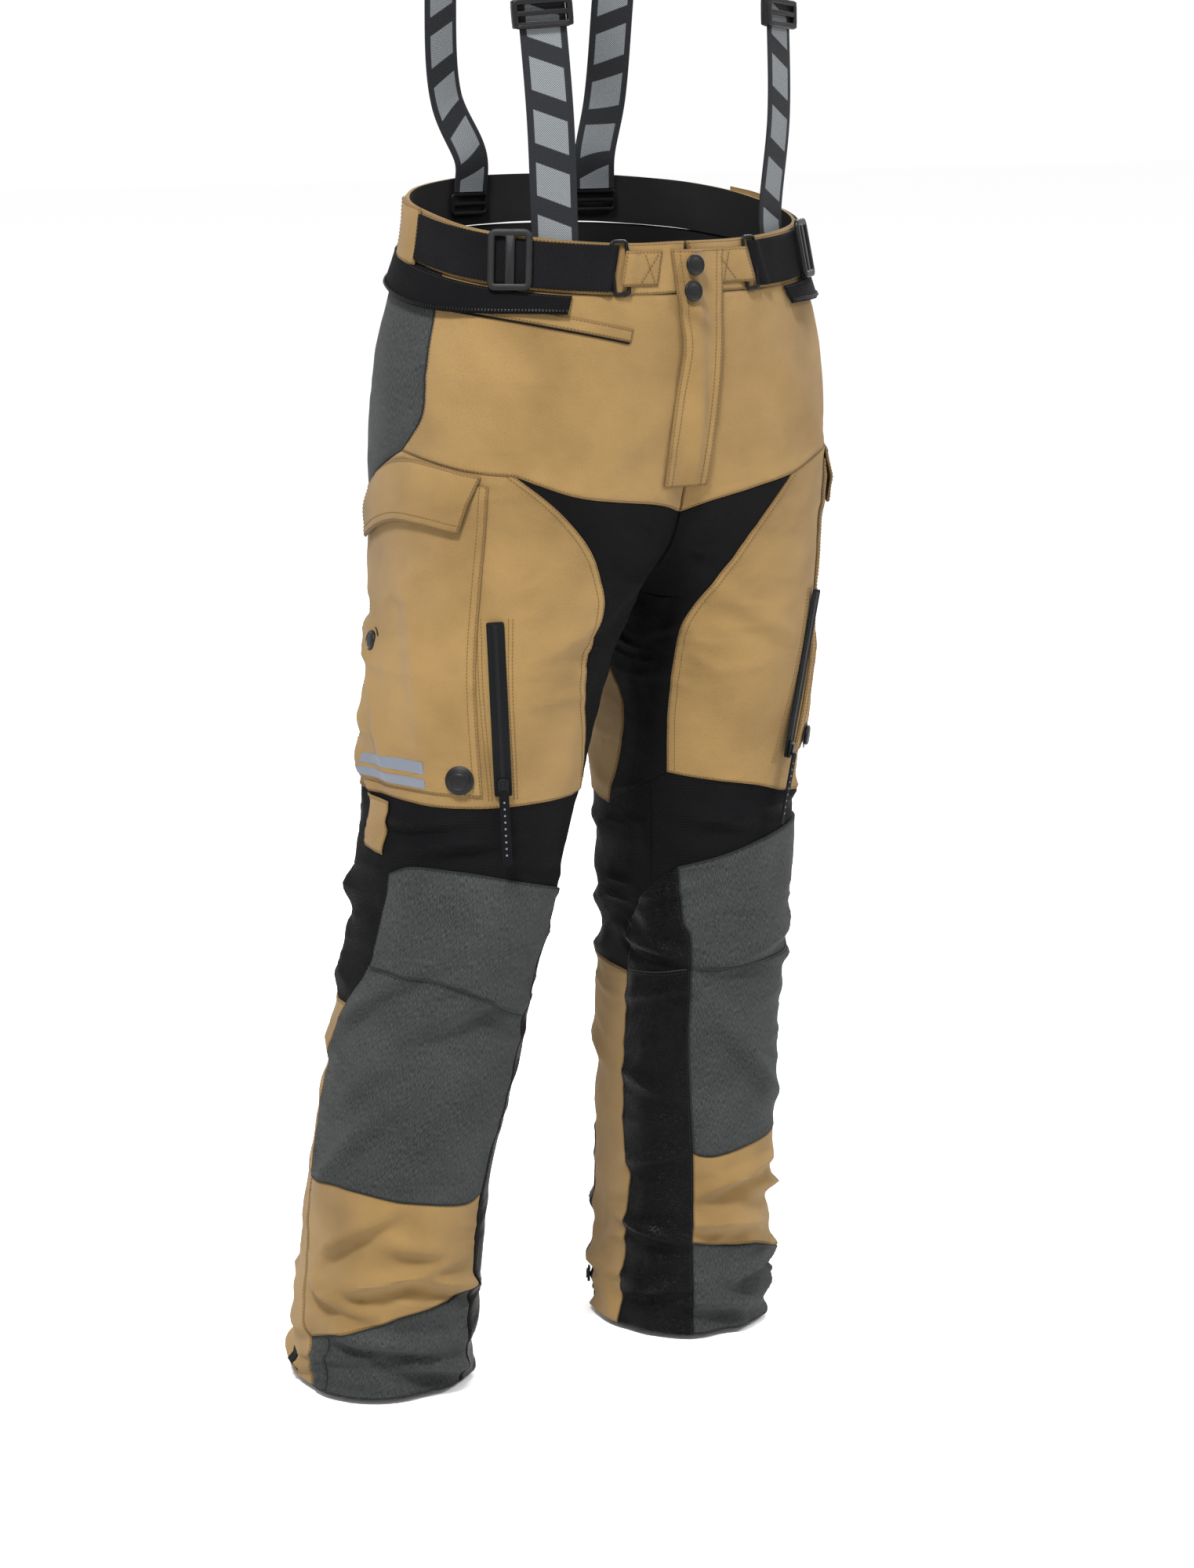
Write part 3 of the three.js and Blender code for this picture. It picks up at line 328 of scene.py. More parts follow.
VENT_TOP, VENT_BOTTOM = (38.0, LEG(0.012)), (17.5, LEG(0.225))
BOTH = [
    Fold(-35, UP(0.93), -38, 120, 9, 2.2),
    Fold(-8, LEG(0.03), -30, 130, 10, 1.8),
    Fold(170, LEG(0.03), 10, 190, 12, 3.2, 30),
    Fold(200, LEG(0.075), 14, 170, 11, 3.0, 26),
    Fold(160, LEG(0.14), 6, 150, 12, 2.4, 20),
    Fold(185, LEG(0.33), 8, 170, 13, 3.4, 24),
    Fold(170, LEG(0.385), -7, 180, 14, 3.6, -20),
    Fold(195, LEG(0.44), 9, 170, 14, 3.4, 18),
    Fold(175, LEG(0.495), -6, 150, 12, 3.4, -16),
    Fold(140, LEG(0.55), 18, 120, 13, 2.0),
    Fold(225, LEG(0.62), -14, 130, 14, 1.8),
    Fold(180, LEG(0.86), 7, 150, 11, 3.2, 14),
    Fold(200, LEG(0.925), -5, 170, 10, 3.8, -14),
    Fold(168, LEG(0.965), 6, 120, 8, 2.6, 10),
]
FOLDS = {
    Side.RIGHT: BOTH + [
        Fold(62, LEG(0.262), -4, 70, 7, 2.6),
        Fold(36, LEG(0.283), -7, 95, 8, 2.4, 12),
        Fold(-12, LEG(0.31), 9, 80, 8, 1.8),
        Fold(72, LEG(0.475), -33, 120, 11, 3.0, 10),
        Fold(28, LEG(0.5), -22, 120, 11, 2.6, 22),
        Fold(-14, LEG(0.487), 16, 80, 10, 3.0),
        Fold(58, LEG(0.565), -37, 120, 14, 1.9),
        Fold(70, LEG(0.665), -44, 120, 13, 2.8),
        Fold(20, LEG(0.7), -10, 70, 14, 1.4),
        Fold(62, LEG(0.785), -30, 100, 10, 3.2, 10),
        Fold(18, LEG(0.8), 14, 80, 11, 2.2),
        Fold(34, LEG(0.842), -12, 120, 9, 3.6, 16),
        Fold(70, LEG(0.875), 12, 80, 8, 2.8),
        Fold(-10, LEG(0.857), 14, 90, 8, 3.4),
        Fold(28, LEG(0.925), 7, 110, 9, 4.2, 16),
        Fold(62, LEG(0.952), -8, 90, 7, 2.4),
        Fold(-4, LEG(0.965), 12, 90, 8, 4.0),
        Fold(78, LEG(0.03), 68, 90, 13, 1.8),
        Fold(66, LEG(0.12), 74, 120, 14, 1.5),
        Fold(104, LEG(0.12), 62, 120, 12, 2.8),
        Fold(118, LEG(0.2), 40, 80, 10, 2.6),
        Fold(50, UP(0.47), -72, 100, 17, 1.4),
        Fold(12, UP(0.62), -56, 110, 15, 1.6),
    ],
    Side.LEFT: BOTH + [
        Fold(24, LEG(0.284), 4, 100, 8, 2.4, -10),
        Fold(-22, LEG(0.3), -8, 80, 8, 1.8),
        Fold(14, LEG(0.47), 12, 110, 10, 2.6, 14),
        Fold(50, LEG(0.5), -14, 90, 11, 2.4),
        Fold(4, LEG(0.61), -48, 110, 14, 1.8),
        Fold(40, LEG(0.68), -30, 100, 13, 1.8),
        Fold(10, LEG(0.785), 10, 110, 9, 3.2, 12),
        Fold(50, LEG(0.82), -12, 90, 9, 3.0),
        Fold(0, LEG(0.85), -8, 100, 9, 3.4, 14),
        Fold(30, LEG(0.915), 6, 110, 9, 3.4, 12),
        Fold(-10, LEG(0.962), -6, 90, 8, 3.2),
        Fold(60, LEG(0.955), 10, 80, 8, 2.6),
        Fold(-62, LEG(0.4), 12, 70, 7, 2.6),
        Fold(-60, LEG(0.47), -10, 80, 8, 3.0),
        Fold(-56, LEG(0.53), 14, 70, 8, 2.2),
        Fold(-62, LEG(0.66), -16, 70, 9, 1.8),
        Fold(-58, LEG(0.76), 12, 70, 9, 2.2),
        Fold(-60, LEG(0.86), -10, 80, 8, 3.0),
        Fold(-58, LEG(0.94), 8, 80, 8, 3.2),
        Fold(40, UP(0.5), -68, 110, 16, 1.5),
        Fold(70, LEG(0.1), 70, 110, 14, 1.6),
    ],
}


class Drape:
    """How the cloth stands off the body surface: listed folds and finer creases from noise."""

    def __init__(self, body: Body) -> None:
        """Prepares the creases' noise.

        Args:
            body: the surface that the cloth lies on.
        """
        self.body = body
        self.swell, self.long, self.short = Noise(11), Noise(23), Noise(37)

    def _strength(self, angle: Array, z: Array) -> Array:
        """How strong the creases are at a place: most behind the knee and at the hem, least on the hips."""
        back = 0.5 - 0.5 * np.cos(np.radians(angle))
        knee = bump(z, LEG(0.4), 95.0) * (0.9 + 1.8 * back)
        crotch = bump(z, LEG(0.02), 85.0) * (1.0 + 1.2 * back + bump(wrap(angle + 40), 0.0, 45.0))
        hem = 2.9 * smooth(-z, -LEG(0.74), -LEG(0.97))
        calf = 0.9 * bump(z, LEG(0.62), 130.0)
        return 0.45 + knee + crotch + hem + calf

    def relief(self, side: Side, angle: Array, z: Array) -> Array:
        """How far the cloth stands off the body surface at angles and heights, in millimetres."""
        angle, z = np.broadcast_arrays(np.asarray(angle, float), np.asarray(z, float))
        place = self.body.point(side, angle, z)
        middle = smooth(np.abs(place[..., 0]), 0.0, 26.0)
        calm = np.where(z > LEG(0.0), middle, 1.0) * smooth(-z, 8.0, 60.0)
        total = 1.1 * self.swell.at(place / 85.0)
        bent = place + 16.0 * self.swell.at(place / 60.0 + 7.0)[..., None]
        for noise, size, share in ((self.long, (80.0, 80.0, 31.0), 1.0), (self.short, (44.0, 44.0, 17.0), 0.45)):
            ridge = np.exp(-((noise.at(bent / np.array(size)) / 0.3) ** 2)) - 0.4
            total = total + share * self._strength(angle, z) * ridge
        folds = sum(fold.relief(angle, z, 98.0) for fold in FOLDS[side])
        deep = 1.4 + smooth(-z, -LEG(-0.02), -LEG(0.26))
        deep = deep + 0.3 * smooth(-z, -LEG(0.7), -LEG(0.84)) * (1 + np.cos(np.radians(angle)))
        run = np.clip((VENT_TOP[1] - z) / (VENT_TOP[1] - VENT_BOTTOM[1]), -0.15, 1.1)
        zip_gap = np.abs(angle - (VENT_TOP[0] + (VENT_BOTTOM[0] - VENT_TOP[0]) * run)) * 1.8
        near = np.hypot(zip_gap, z - (VENT_TOP[1] + (VENT_BOTTOM[1] - VENT_TOP[1]) * run))
        calm = calm * smooth(near, 9.0, 34.0)
        return calm * (1.4 * total + deep * folds) + (1.0 - calm) * 0.2

    def cloth(self, side: Side, angle: Array, z: Array, out: Array | float = 0.0) -> Array:
        """Points on the draped cloth, standing off it by out."""
        return self.body.point(side, angle, z, self.relief(side, angle, z) + out)


# ---- Lines and patches on the surface ---------------------------------------------------------------------


def line(points: Iterable[Sequence[float]]) -> Edge:
    """A smooth line through points: a uniform Catmull-Rom spline, as a function of shares from 0 to 1."""
    knots = np.array([list(p) for p in points], float)
    last = len(knots) - 1

    def at(share: Array) -> Array:
        place = np.clip(np.asarray(share, float), 0.0, 1.0) * last
        k = np.minimum(np.floor(place).astype(int), last - 1)
        t = (place - k)[..., None]
        before, here = knots[np.maximum(k - 1, 0)], knots[k]
        there, after = knots[k + 1], knots[np.minimum(k + 2, last)]
        leave, reach = (there - before) / 2, (after - here) / 2
        return (2 * here - 2 * there + leave + reach) * t**3 + (
            -3 * here + 3 * there - 2 * leave - reach) * t**2 + leave * t + here

    return at


def turned(edge: Edge, degrees: float) -> Edge:
    """The same line with its angles moved on by some degrees."""
    return lambda share: edge(share) + np.array([degrees, 0.0])


def back(edge: Edge) -> Edge:
    """The same line run the other way."""
    return lambda share: edge(1.0 - np.asarray(share, float))


def joined(first: Edge, second: Edge, share: float) -> Edge:
    """Two lines run one after the other, the first taking a share of the whole."""

    def at(t: Array) -> Array:
        t = np.asarray(t, float)
        return np.where((t < share)[..., None], first(t / share), second((t - share) / (1.0 - share)))

    return at


@dataclass(frozen=True)
class Patch:
    """A patch between four lines. Top and bottom run left to right, left and right run downwards."""

    top: Edge
    bottom: Edge
    left: Edge
    right: Edge

    def at(self, s: Array, t: Array) -> Array:
        """Angles and heights at shares across and down: the four edges blended less the corners' blend."""
        s, t = np.broadcast_arrays(np.asarray(s, float), np.asarray(t, float))
        zero, one = np.zeros(1), np.ones(1)
        a, b = s[..., None], t[..., None]
        corners = (
            (1 - a) * (1 - b) * self.top(zero) + a * (1 - b) * self.top(one)
            + (1 - a) * b * self.bottom(zero) + a * b * self.bottom(one)
        )
        return (1 - b) * self.top(s) + b * self.bottom(s) + (1 - a) * self.left(t) + a * self.right(t) - corners


# ---- Meshes as arrays -------------------------------------------------------------------------------------


@dataclass
class Shape:
    """A mesh as arrays: points in millimetres, four-cornered faces, and each face's finish number."""

    points: Array
    faces: Array
    uv: Array | None = None
    rim: Array | None = None
    skin: Array | None = None

    def with_skin(self, number: int) -> "Shape":
        """The shape with all its faces in one finish."""
        return replace(self, skin=np.full(len(self.faces), number))

    def on(self, place: Array) -> "Shape":
        """The shape carried to a frame of X, Y, Z and origin."""
        return replace(self, points=self.points @ place[:3] + place[3])

    def outward(self) -> "Shape":
        """The shape with its faces turned to point out, judged by its signed volume."""
        a, b, c, d = (self.points[self.faces[:, i]] for i in range(4))
        volume = (a * np.cross(b, c)).sum() + (a * np.cross(c, d)).sum()
        return self if volume >= 0 else replace(self, faces=self.faces[:, ::-1])


def merged(shapes: Sequence[Shape]) -> Shape:
    """Several shapes as one, each keeping its own points."""
    starts = np.cumsum([0] + [len(s.points) for s in shapes[:-1]])
    uv = [s.uv if s.uv is not None else s.points[:, [0, 2]] * MM for s in shapes]
    rim = [s.rim if s.rim is not None else np.full(len(s.points), 9.0) for s in shapes]
    skin = [s.skin if s.skin is not None else np.zeros(len(s.faces), int) for s in shapes]
    faces = np.concatenate([s.faces + start for s, start in zip(shapes, starts)])
    return Shape(np.concatenate([s.points for s in shapes]), faces, *map(np.concatenate, (uv, rim, skin)))


def grid_faces(rows: int, columns: int, loop_rows: bool = False, loop_columns: bool = False) -> Array:
    """The faces between the points of a grid, row after row, with either way closed on itself if asked."""
    i = np.arange(rows if loop_rows else rows - 1)[:, None]
    j = np.arange(columns if loop_columns else columns - 1)[None, :]
    below, beside = (i + 1) % rows, (j + 1) % columns
    quads = [i * columns + j, below * columns + j, below * columns + beside, i * columns + beside]
    return np.stack(np.broadcast_arrays(*quads), -1).reshape(-1, 4)


def closed_wall(outer: Array, inner: Array, uv: Array, rim: Array) -> Shape:
    """A closed wall between two grids of points of one size: both sheets, and a strip round their edges.

    Args:
        outer: rows by columns by 3 points of the outer sheet.
        inner: the same of the inner sheet, whose faces get finish number 1.
        uv: rows by columns by 2 places along the cloth, in metres.
        rim: rows by columns distances from the edge, in millimetres.

    Returns:
        the closed shape.
    """
    rows, columns = outer.shape[:2]
    sheet = grid_faces(rows, columns)
    far = rows * columns
    ids = np.arange(far).reshape(rows, columns)
    loop = np.concatenate([ids[0, :-1], ids[:-1, -1], ids[-1, :0:-1], ids[:0:-1, 0]])
    after = np.roll(loop, -1)
    side = np.stack([loop, after, after + far, loop + far], -1)
    points = np.concatenate([outer.reshape(-1, 3), inner.reshape(-1, 3)])
    faces = np.concatenate([sheet, sheet[:, ::-1] + far, side])
    skin = np.concatenate([np.zeros(len(sheet), int), np.ones(len(sheet), int), np.zeros(len(side), int)])
    flat = uv.reshape(-1, 2)
    shape = Shape(points, faces, np.concatenate([flat, flat]), np.tile(rim.reshape(-1), 2), skin)
    return shape.outward()


def loop_wall(points: Array, uv: Array | None = None) -> Shape:
    """A ring: a grid of points closed both ways, such as a rounded section carried round a closed path."""
    rows, columns = points.shape[:2]
    flat = None if uv is None else uv.reshape(-1, 2)
    return Shape(points.reshape(-1, 3), grid_faces(rows, columns, True, True), flat).outward()


def capped(rings: Array) -> Shape:
    """A solid whose skin is a stack of closed rings, its first and last ring drawn together to a point."""
    first, last = rings[:1].mean(1, keepdims=True), rings[-1:].mean(1, keepdims=True)
    full = np.concatenate([np.broadcast_to(first, rings[:1].shape), rings, np.broadcast_to(last, rings[:1].shape)])
    rows, columns = full.shape[:2]
    return Shape(full.reshape(-1, 3), grid_faces(rows, columns, False, True)).outward()


def outline(width: float, height: float, radius: float, corner: int = 6) -> Array:
    """A rectangle with round corners, anticlockwise, as points in X and Y."""
    turn = np.linspace(0.0, math.pi / 2, corner)
    arcs = []
    for k, (x, y) in enumerate(((1, 1), (-1, 1), (-1, -1), (1, -1))):
        middle = np.array([x * (width / 2 - radius), y * (height / 2 - radius)])
        arcs.append(middle + radius * np.stack([np.cos(turn + k * math.pi / 2), np.sin(turn + k * math.pi / 2)], -1))
    return np.concatenate(arcs)


def slab(width: float, height: float, thick: float, radius: float, bevel: float = 0.5) -> Shape:
    """A plate with round corners and bevelled edges, standing from Z = 0: outlines stacked up, inset at both ends."""
    turn = np.linspace(0.0, math.pi / 2, 4)
    inset = np.concatenate([bevel * (1 - np.sin(turn)), bevel * (1 - np.cos(turn))])
    levels = np.concatenate([bevel * (1 - np.cos(turn)), thick - bevel * (1 - np.sin(turn))])
    rings = []
    for cut, z in zip(inset, levels):
        ring = outline(width - 2 * cut, height - 2 * cut, max(radius - cut, 0.1))
        rings.append(np.column_stack([ring, np.full(len(ring), z)]))
    return capped(np.array(rings))


def lathe(profile: Sequence[Sequence[float]], steps: int = 28) -> Shape:
    """A solid turned about Z from a profile of radius and height that starts and ends near the axis."""
    rows = np.array(profile, float)
    turn = np.linspace(0.0, 2 * math.pi, steps, endpoint=False)
    x, y = rows[:, :1] * np.cos(turn), rows[:, :1] * np.sin(turn)
    return capped(np.stack([x, y, np.broadcast_to(rows[:, 1:], x.shape)], -1))


def bar_loop(path: Array, across: float, deep: float, roundness: float = 0.45) -> Shape:
    """A bar of a rounded oblong section bent round a closed flat path in X and Y, its back at Z = 0."""
    ahead = unit(np.roll(path, -1, 0) - np.roll(path, 1, 0))
    beside = np.stack([ahead[:, 1], -ahead[:, 0]], -1)
    section = outline(across, deep, roundness * min(across, deep), 4)
    flat = path[:, None, :] + beside[:, None, :] * section[None, :, :1]
    level = np.broadcast_to(section[None, :, 1:] + deep / 2, flat.shape[:2] + (1,))
    return loop_wall(np.concatenate([flat, level], -1))


def tube(path: Array, radius: float, steps: int = 8) -> Shape:
    """A round bar along an open path, with round ends: rings square to the path, shrinking at both ends."""
    ahead = unit(np.gradient(path, axis=0))
    side = unit(np.cross(ahead, np.array([0.21, 0.35, 0.91])))
    up = np.cross(ahead, side)
    size = np.full(len(path), radius)
    size[[0, -1]] *= 0.55
    turn = np.linspace(0.0, 2 * math.pi, steps, endpoint=False)[None, :, None]
    rings = path[:, None] + size[:, None, None] * (side[:, None] * np.cos(turn) + up[:, None] * np.sin(turn))
    return capped(rings)


def scattered(base: Shape, origins: Array, x: Array, y: Array, z: Array) -> Shape:
    """Copies of a small shape at many frames, worked out as one array."""
    local = base.points
    points = (
        origins[:, None] + local[None, :, :1] * x[:, None] + local[None, :, 1:2] * y[:, None]
        + local[None, :, 2:] * z[:, None]
    )
    count, each = len(origins), len(local)
    faces = (base.faces[None] + (np.arange(count) * each)[:, None, None]).reshape(-1, 4)
    return Shape(points.reshape(-1, 3), faces)


def stitch_base(length: float, radius: float) -> Shape:
    """One stitch: a short thread, thick in its middle and sunk at both ends."""
    turn = np.linspace(0.0, 2 * math.pi, 5, endpoint=False)
    rows = [(-0.5, 0.45, -0.5), (-0.3, 0.95, 0.15), (0.3, 0.95, 0.15), (0.5, 0.45, -0.5)]
    rings = [
        np.stack([np.full(5, x * length), radius * w * np.cos(turn), radius * (w * np.sin(turn) + up)], -1)
        for x, w, up in rows
    ]
    return capped(np.array(rings))


STITCH = stitch_base(2.5, 0.36)


def paced(path: Array, pitch: float) -> tuple[Array, Array]:
    """Points evenly spaced by about pitch along a path.

    Args:
        path: points of the path.
        pitch: the spacing wanted.

    Returns:
        the places as shares of the path's point numbers, and the points there.
    """
    steps = np.linalg.norm(np.diff(path, axis=0), axis=1)
    run = np.concatenate([[0.0], np.cumsum(steps)])
    count = max(int(run[-1] / pitch), 1)
    goal = (np.arange(count) + 0.5) * run[-1] / count
    share = np.interp(goal, run, np.arange(len(path)))
    return share, np.stack([np.interp(goal, run, path[:, k]) for k in range(3)], -1)


def stitched(path: Array, beside: Array, pitch: float = 3.3, base: Shape = STITCH, lift: float = 0.15) -> Shape:
    """A row of stitches along a path on the cloth.

    Args:
        path: points of the row.
        beside: points a little to one side of the row on the same cloth, which give its slope.
        pitch: from one stitch to the next.
        base: the stitch.
        lift: how far the thread's middle stands off the cloth.

    Returns:
        all the stitches as one shape.
    """
    share, places = paced(path, pitch)
    ahead = unit(np.gradient(path, axis=0))
    normal = unit(np.cross(ahead, beside - path))
    pick = np.clip(np.round(share).astype(int), 0, len(path) - 1)
    x, z = ahead[pick], normal[pick]
    return scattered(base, places + z * lift, x, np.cross(z, x), z)


# ---- Pieces -----------------------------------------------------------------------------------------------


@dataclass
class Piece:
    """What a finished piece needs besides its shape."""

    name: str
    finishes: Sequence[bpy.types.Material]
    slot: str
    body: str
    replaces: Sequence[str] = ()
    knee: Side | None = None  # a knee; a piece given one is not fixed to a body but baked in place
    sharp: float = 50.0  # degrees between faces past which an edge is crisp


KNEE_BEND = {"start": -0.552, "end": -0.772}  # heights in metres where the knee bend starts and ends


def make(shape: Shape, piece: Piece) -> bpy.types.Object:
    """Puts a shape into Blender as a piece and fixes it to its body; a piece given a knee is instead left unparented
    with its transform baked in.

    Args:
        shape: the piece's arrays, in millimetres.
        piece: its name, finishes, slot, body and the nodes that it stands for.

    Returns:
        the object.
    """
    mesh = bpy.data.meshes.new(piece.name)
    mesh.from_pydata((shape.points * MM).tolist(), [], shape.faces.tolist())
    uv = shape.uv if shape.uv is not None else shape.points[:, [0, 2]] * MM
    corners = np.empty(len(mesh.loops), np.int32)
    mesh.loops.foreach_get("vertex_index", corners)
    mesh.uv_layers.new(name="cloth").data.foreach_set("uv", uv[corners].astype(np.float32).ravel())
    rim = shape.rim if shape.rim is not None else np.full(len(shape.points), 9.0)
    mesh.attributes.new("rim", "FLOAT", "POINT").data.foreach_set("value", rim.astype(np.float32))
    if shape.skin is not None:
        mesh.polygons.foreach_set("material_index", shape.skin.astype(np.int32))
    for finish in piece.finishes:
        mesh.materials.append(finish)
    welded = bmesh.new()
    welded.from_mesh(mesh)
    bmesh.ops.remove_doubles(welded, verts=welded.verts, dist=2e-6)
    bmesh.ops.dissolve_degenerate(welded, edges=welded.edges, dist=1e-7)
    welded.to_mesh(mesh)
    welded.free()
    mesh.polygons.foreach_set("use_smooth", np.ones(len(mesh.polygons), bool))
    mesh.set_sharp_from_angle(angle=math.radians(piece.sharp))
    made = bpy.data.objects.new(piece.name, mesh)
    bpy.context.scene.collection.objects.link(made)
    if piece.replaces:
        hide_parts(*piece.replaces)
    if piece.knee is None:
        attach(made, piece.body)
    else:
        start, end = ((0.0, 0.0, KNEE_BEND[key]) for key in ("start", "end"))
        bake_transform(made)
        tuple(start)
        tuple(end)
    log.info("%s: %d faces", piece.name, len(mesh.polygons))
    return made


# ---- Cloth pieces -----------------------------------------------------------------------------------------

RIMS = np.array([0.0, 0.5, 1.1, 2.0, 3.0, 5.0, 7.0, 8.0, 9.0, 10.6])  # grid lines beside an edge, where seams are
PUCKER = Noise(53)


def shares(length: float, spacing: float) -> Array:
    """Shares along a length, close together at both ends for the seams and evenly spaced between."""
    rims = RIMS * min(1.0, length / 34.0) / length
    count = max(round((1.0 - 2.0 * rims[-1]) * length / spacing), 2)
    middle = np.linspace(rims[-1], 1.0 - rims[-1], count + 1)[1:-1]
    return np.concatenate([rims, middle, 1.0 - rims[::-1]])


def run_lengths(grid: Array, axis: int) -> Array:
    """Distance along a grid's rows or columns from their start."""
    steps = np.linalg.norm(np.diff(grid, axis=axis), axis=-1)
    start = np.zeros_like(np.take(steps, [0], axis))
    return np.concatenate([start, np.cumsum(steps, axis)], axis)


@dataclass
class Cloth:
    """A panel of cloth as two grids of points, rows running down it, and where its edges and seams are."""

    outer: Array
    inner: Array
    plan: Array  # the surface before seams and rims shape it

    @classmethod
    def cut(
        cls, point: Callable[[Array, Array, Array], Array], thick: float = 2.4, spacing: float = 4.2,
        felled: str = "", depth: float = 1.0,
    ) -> "Cloth":
        """Cuts a panel from a surface.

        Args:
            point: the surface's points from shares across and down and a stand-off.
            thick: thickness of the cloth.
            spacing: distance between grid lines, away from the edges.
            felled: edges with a felled seam, by their first letters of top, bottom, left and right.
            depth: how deep the cloth turns in at its edges.

        Returns:
            the cloth.
        """
        s, t = np.meshgrid(np.linspace(0, 1, 30), np.linspace(0, 1, 30))
        probe = point(s, t, np.zeros_like(s))
        width, length = run_lengths(probe, 1)[:, -1].max(), run_lengths(probe, 0)[-1].max()
        s, t = np.meshgrid(shares(width, spacing), shares(length, spacing))
        plan = point(s, t, np.zeros_like(s))
        across, down = run_lengths(plan, 1), run_lengths(plan, 0)
        edges = {"l": across, "r": across[:, -1:] - across, "t": down, "b": down[-1:] - down}
        nearest = np.minimum.reduce(list(edges.values()))
        out = -depth * bump(nearest, 0.0, 1.1) + 0.4 * PUCKER.at(plan / 8.0) * np.exp(-nearest / 8.0)
        for letter in felled:
            gap = edges[letter]
            out += 0.5 - 0.5 * smooth(gap, 8.8, 10.4) - 0.35 * bump(gap, 2.1, 0.9) - 0.35 * bump(gap, 8.0, 0.9)
        return cls(point(s, t, out), point(s, t, np.full_like(s, -thick)), plan)

    def shape(self) -> Shape:
        """The cloth as a closed wall, with places along it in metres and its distance from the edge."""
        across, down = run_lengths(self.plan, 1), run_lengths(self.plan, 0)
        nearest = np.minimum.reduce([across, across[:, -1:] - across, down, down[-1:] - down])
        return closed_wall(self.outer, self.inner, np.stack([across, -down], -1) * MM, nearest)

    def flat(self) -> tuple[tuple[float, float], float]:
        """Width and length that the cut takes, and its area, in metres."""
        width, length = run_lengths(self.plan, 1)[:, -1].max(), run_lengths(self.plan, 0)[-1].max()
        a, b = self.plan[1:, 1:] - self.plan[:-1, :-1], self.plan[1:, :-1] - self.plan[:-1, 1:]
        area = 0.5 * np.linalg.norm(np.cross(a, b), axis=-1).sum()
        size = (float(width * MM), float(length * MM))
        return size, float(np.clip(area * MM * MM, 0.31 * size[0] * size[1], size[0] * size[1]))

    def seam(self, edge: str, distance: float, span: tuple[float, float] = (0.0, 1.0)) -> tuple[Array, Array]:
        """A line on the cloth beside one of its edges.

        Args:
            edge: first letter of top, bottom, left or right.
            distance: how far the line runs from the edge, in millimetres.
            span: the shares of the edge between which it runs.

        Returns:
            points of the line, and points beside it that give the cloth's slope there.
        """
        grids = [self.outer, self.inner]
        if edge in "tb":
            grids = [np.swapaxes(g, 0, 1) for g in grids]
        if edge in "rb":
            grids = [g[:, ::-1] for g in grids]
        outer, inner = grids
        run = run_lengths(outer, 1)
        low, high = (round(share * (len(outer) - 1)) for share in span)
        low, high = low + (low == 0), high - (high == len(outer) - 1)
        lines = []
        for gap in (distance, distance + 1.6):
            rows = [[np.interp(gap, run[i], outer[i, :, k]) for k in range(3)] for i in range(low, high + 1)]
            lines.append(np.array(rows))
        path, beside = lines
        normal = np.cross(np.gradient(path, axis=0), beside - path)
        if (normal * (outer - inner)[low : high + 1, 2]).sum() < 0:
            beside = 2 * path - beside
        return path, beside


# ---- Finishes ---------------------------------------------------------------------------------------------


def shade(red: int, green: int, blue: int) -> tuple[float, float, float, float]:
    """A screen colour from 0 to 255 as the renderer's linear colour."""
    line_up = [c / 255 / 12.92 if c <= 10 else ((c / 255 + 0.055) / 1.055) ** 2.4 for c in (red, green, blue)]
    return (*line_up, 1.0)


class Wire:
    """A value in a material's nodes, which can be reckoned with like a number."""

    def __init__(self, paint: "Paint", socket: bpy.types.NodeSocket) -> None:
        """Holds on to a node's output.

        Args:
            paint: the material's nodes.
            socket: the output that gives the value.
        """
        self.paint, self.socket = paint, socket

    def _maths(self, operation: str, *values: Any) -> "Wire":
        """A Math node on some values."""
        return self.paint.node("ShaderNodeMath", {"operation": operation}, dict(enumerate(values)))

    def __add__(self, other: Any) -> "Wire":
        """The sum."""
        return self._maths("ADD", self, other)

    def __sub__(self, other: Any) -> "Wire":
        """The difference."""
        return self._maths("SUBTRACT", self, other)

    def __rsub__(self, other: Any) -> "Wire":
        """The difference, from a number."""
        return self._maths("SUBTRACT", other, self)

    def __mul__(self, other: Any) -> "Wire":
        """The product."""
        return self._maths("MULTIPLY", self, other)

    def __truediv__(self, other: Any) -> "Wire":
        """The quotient."""
        return self._maths("DIVIDE", self, other)

    def __gt__(self, other: Any) -> "Wire":
        """1 where it is above the other, and 0 elsewhere."""
        return self._maths("GREATER_THAN", self, other)

    __radd__, __rmul__ = __add__, __mul__

    def sine(self) -> "Wire":
        """Its sine."""
        return self._maths("SINE", self)

    def size(self) -> "Wire":
        """Its size without its sign."""
        return self._maths("ABSOLUTE", self)

    def step(self, low: float, high: float) -> "Wire":
        """From 0 at low to 1 at high, smoothly."""
        settings = {"interpolation_type": "SMOOTHSTEP"}
        return self.paint.node("ShaderNodeMapRange", settings, {0: self, 1: low, 2: high})

    def beat(self, period: float) -> "Wire":
        """Place within a repeated period, from 0 to 1."""
        return self._maths("FRACT", self / period)


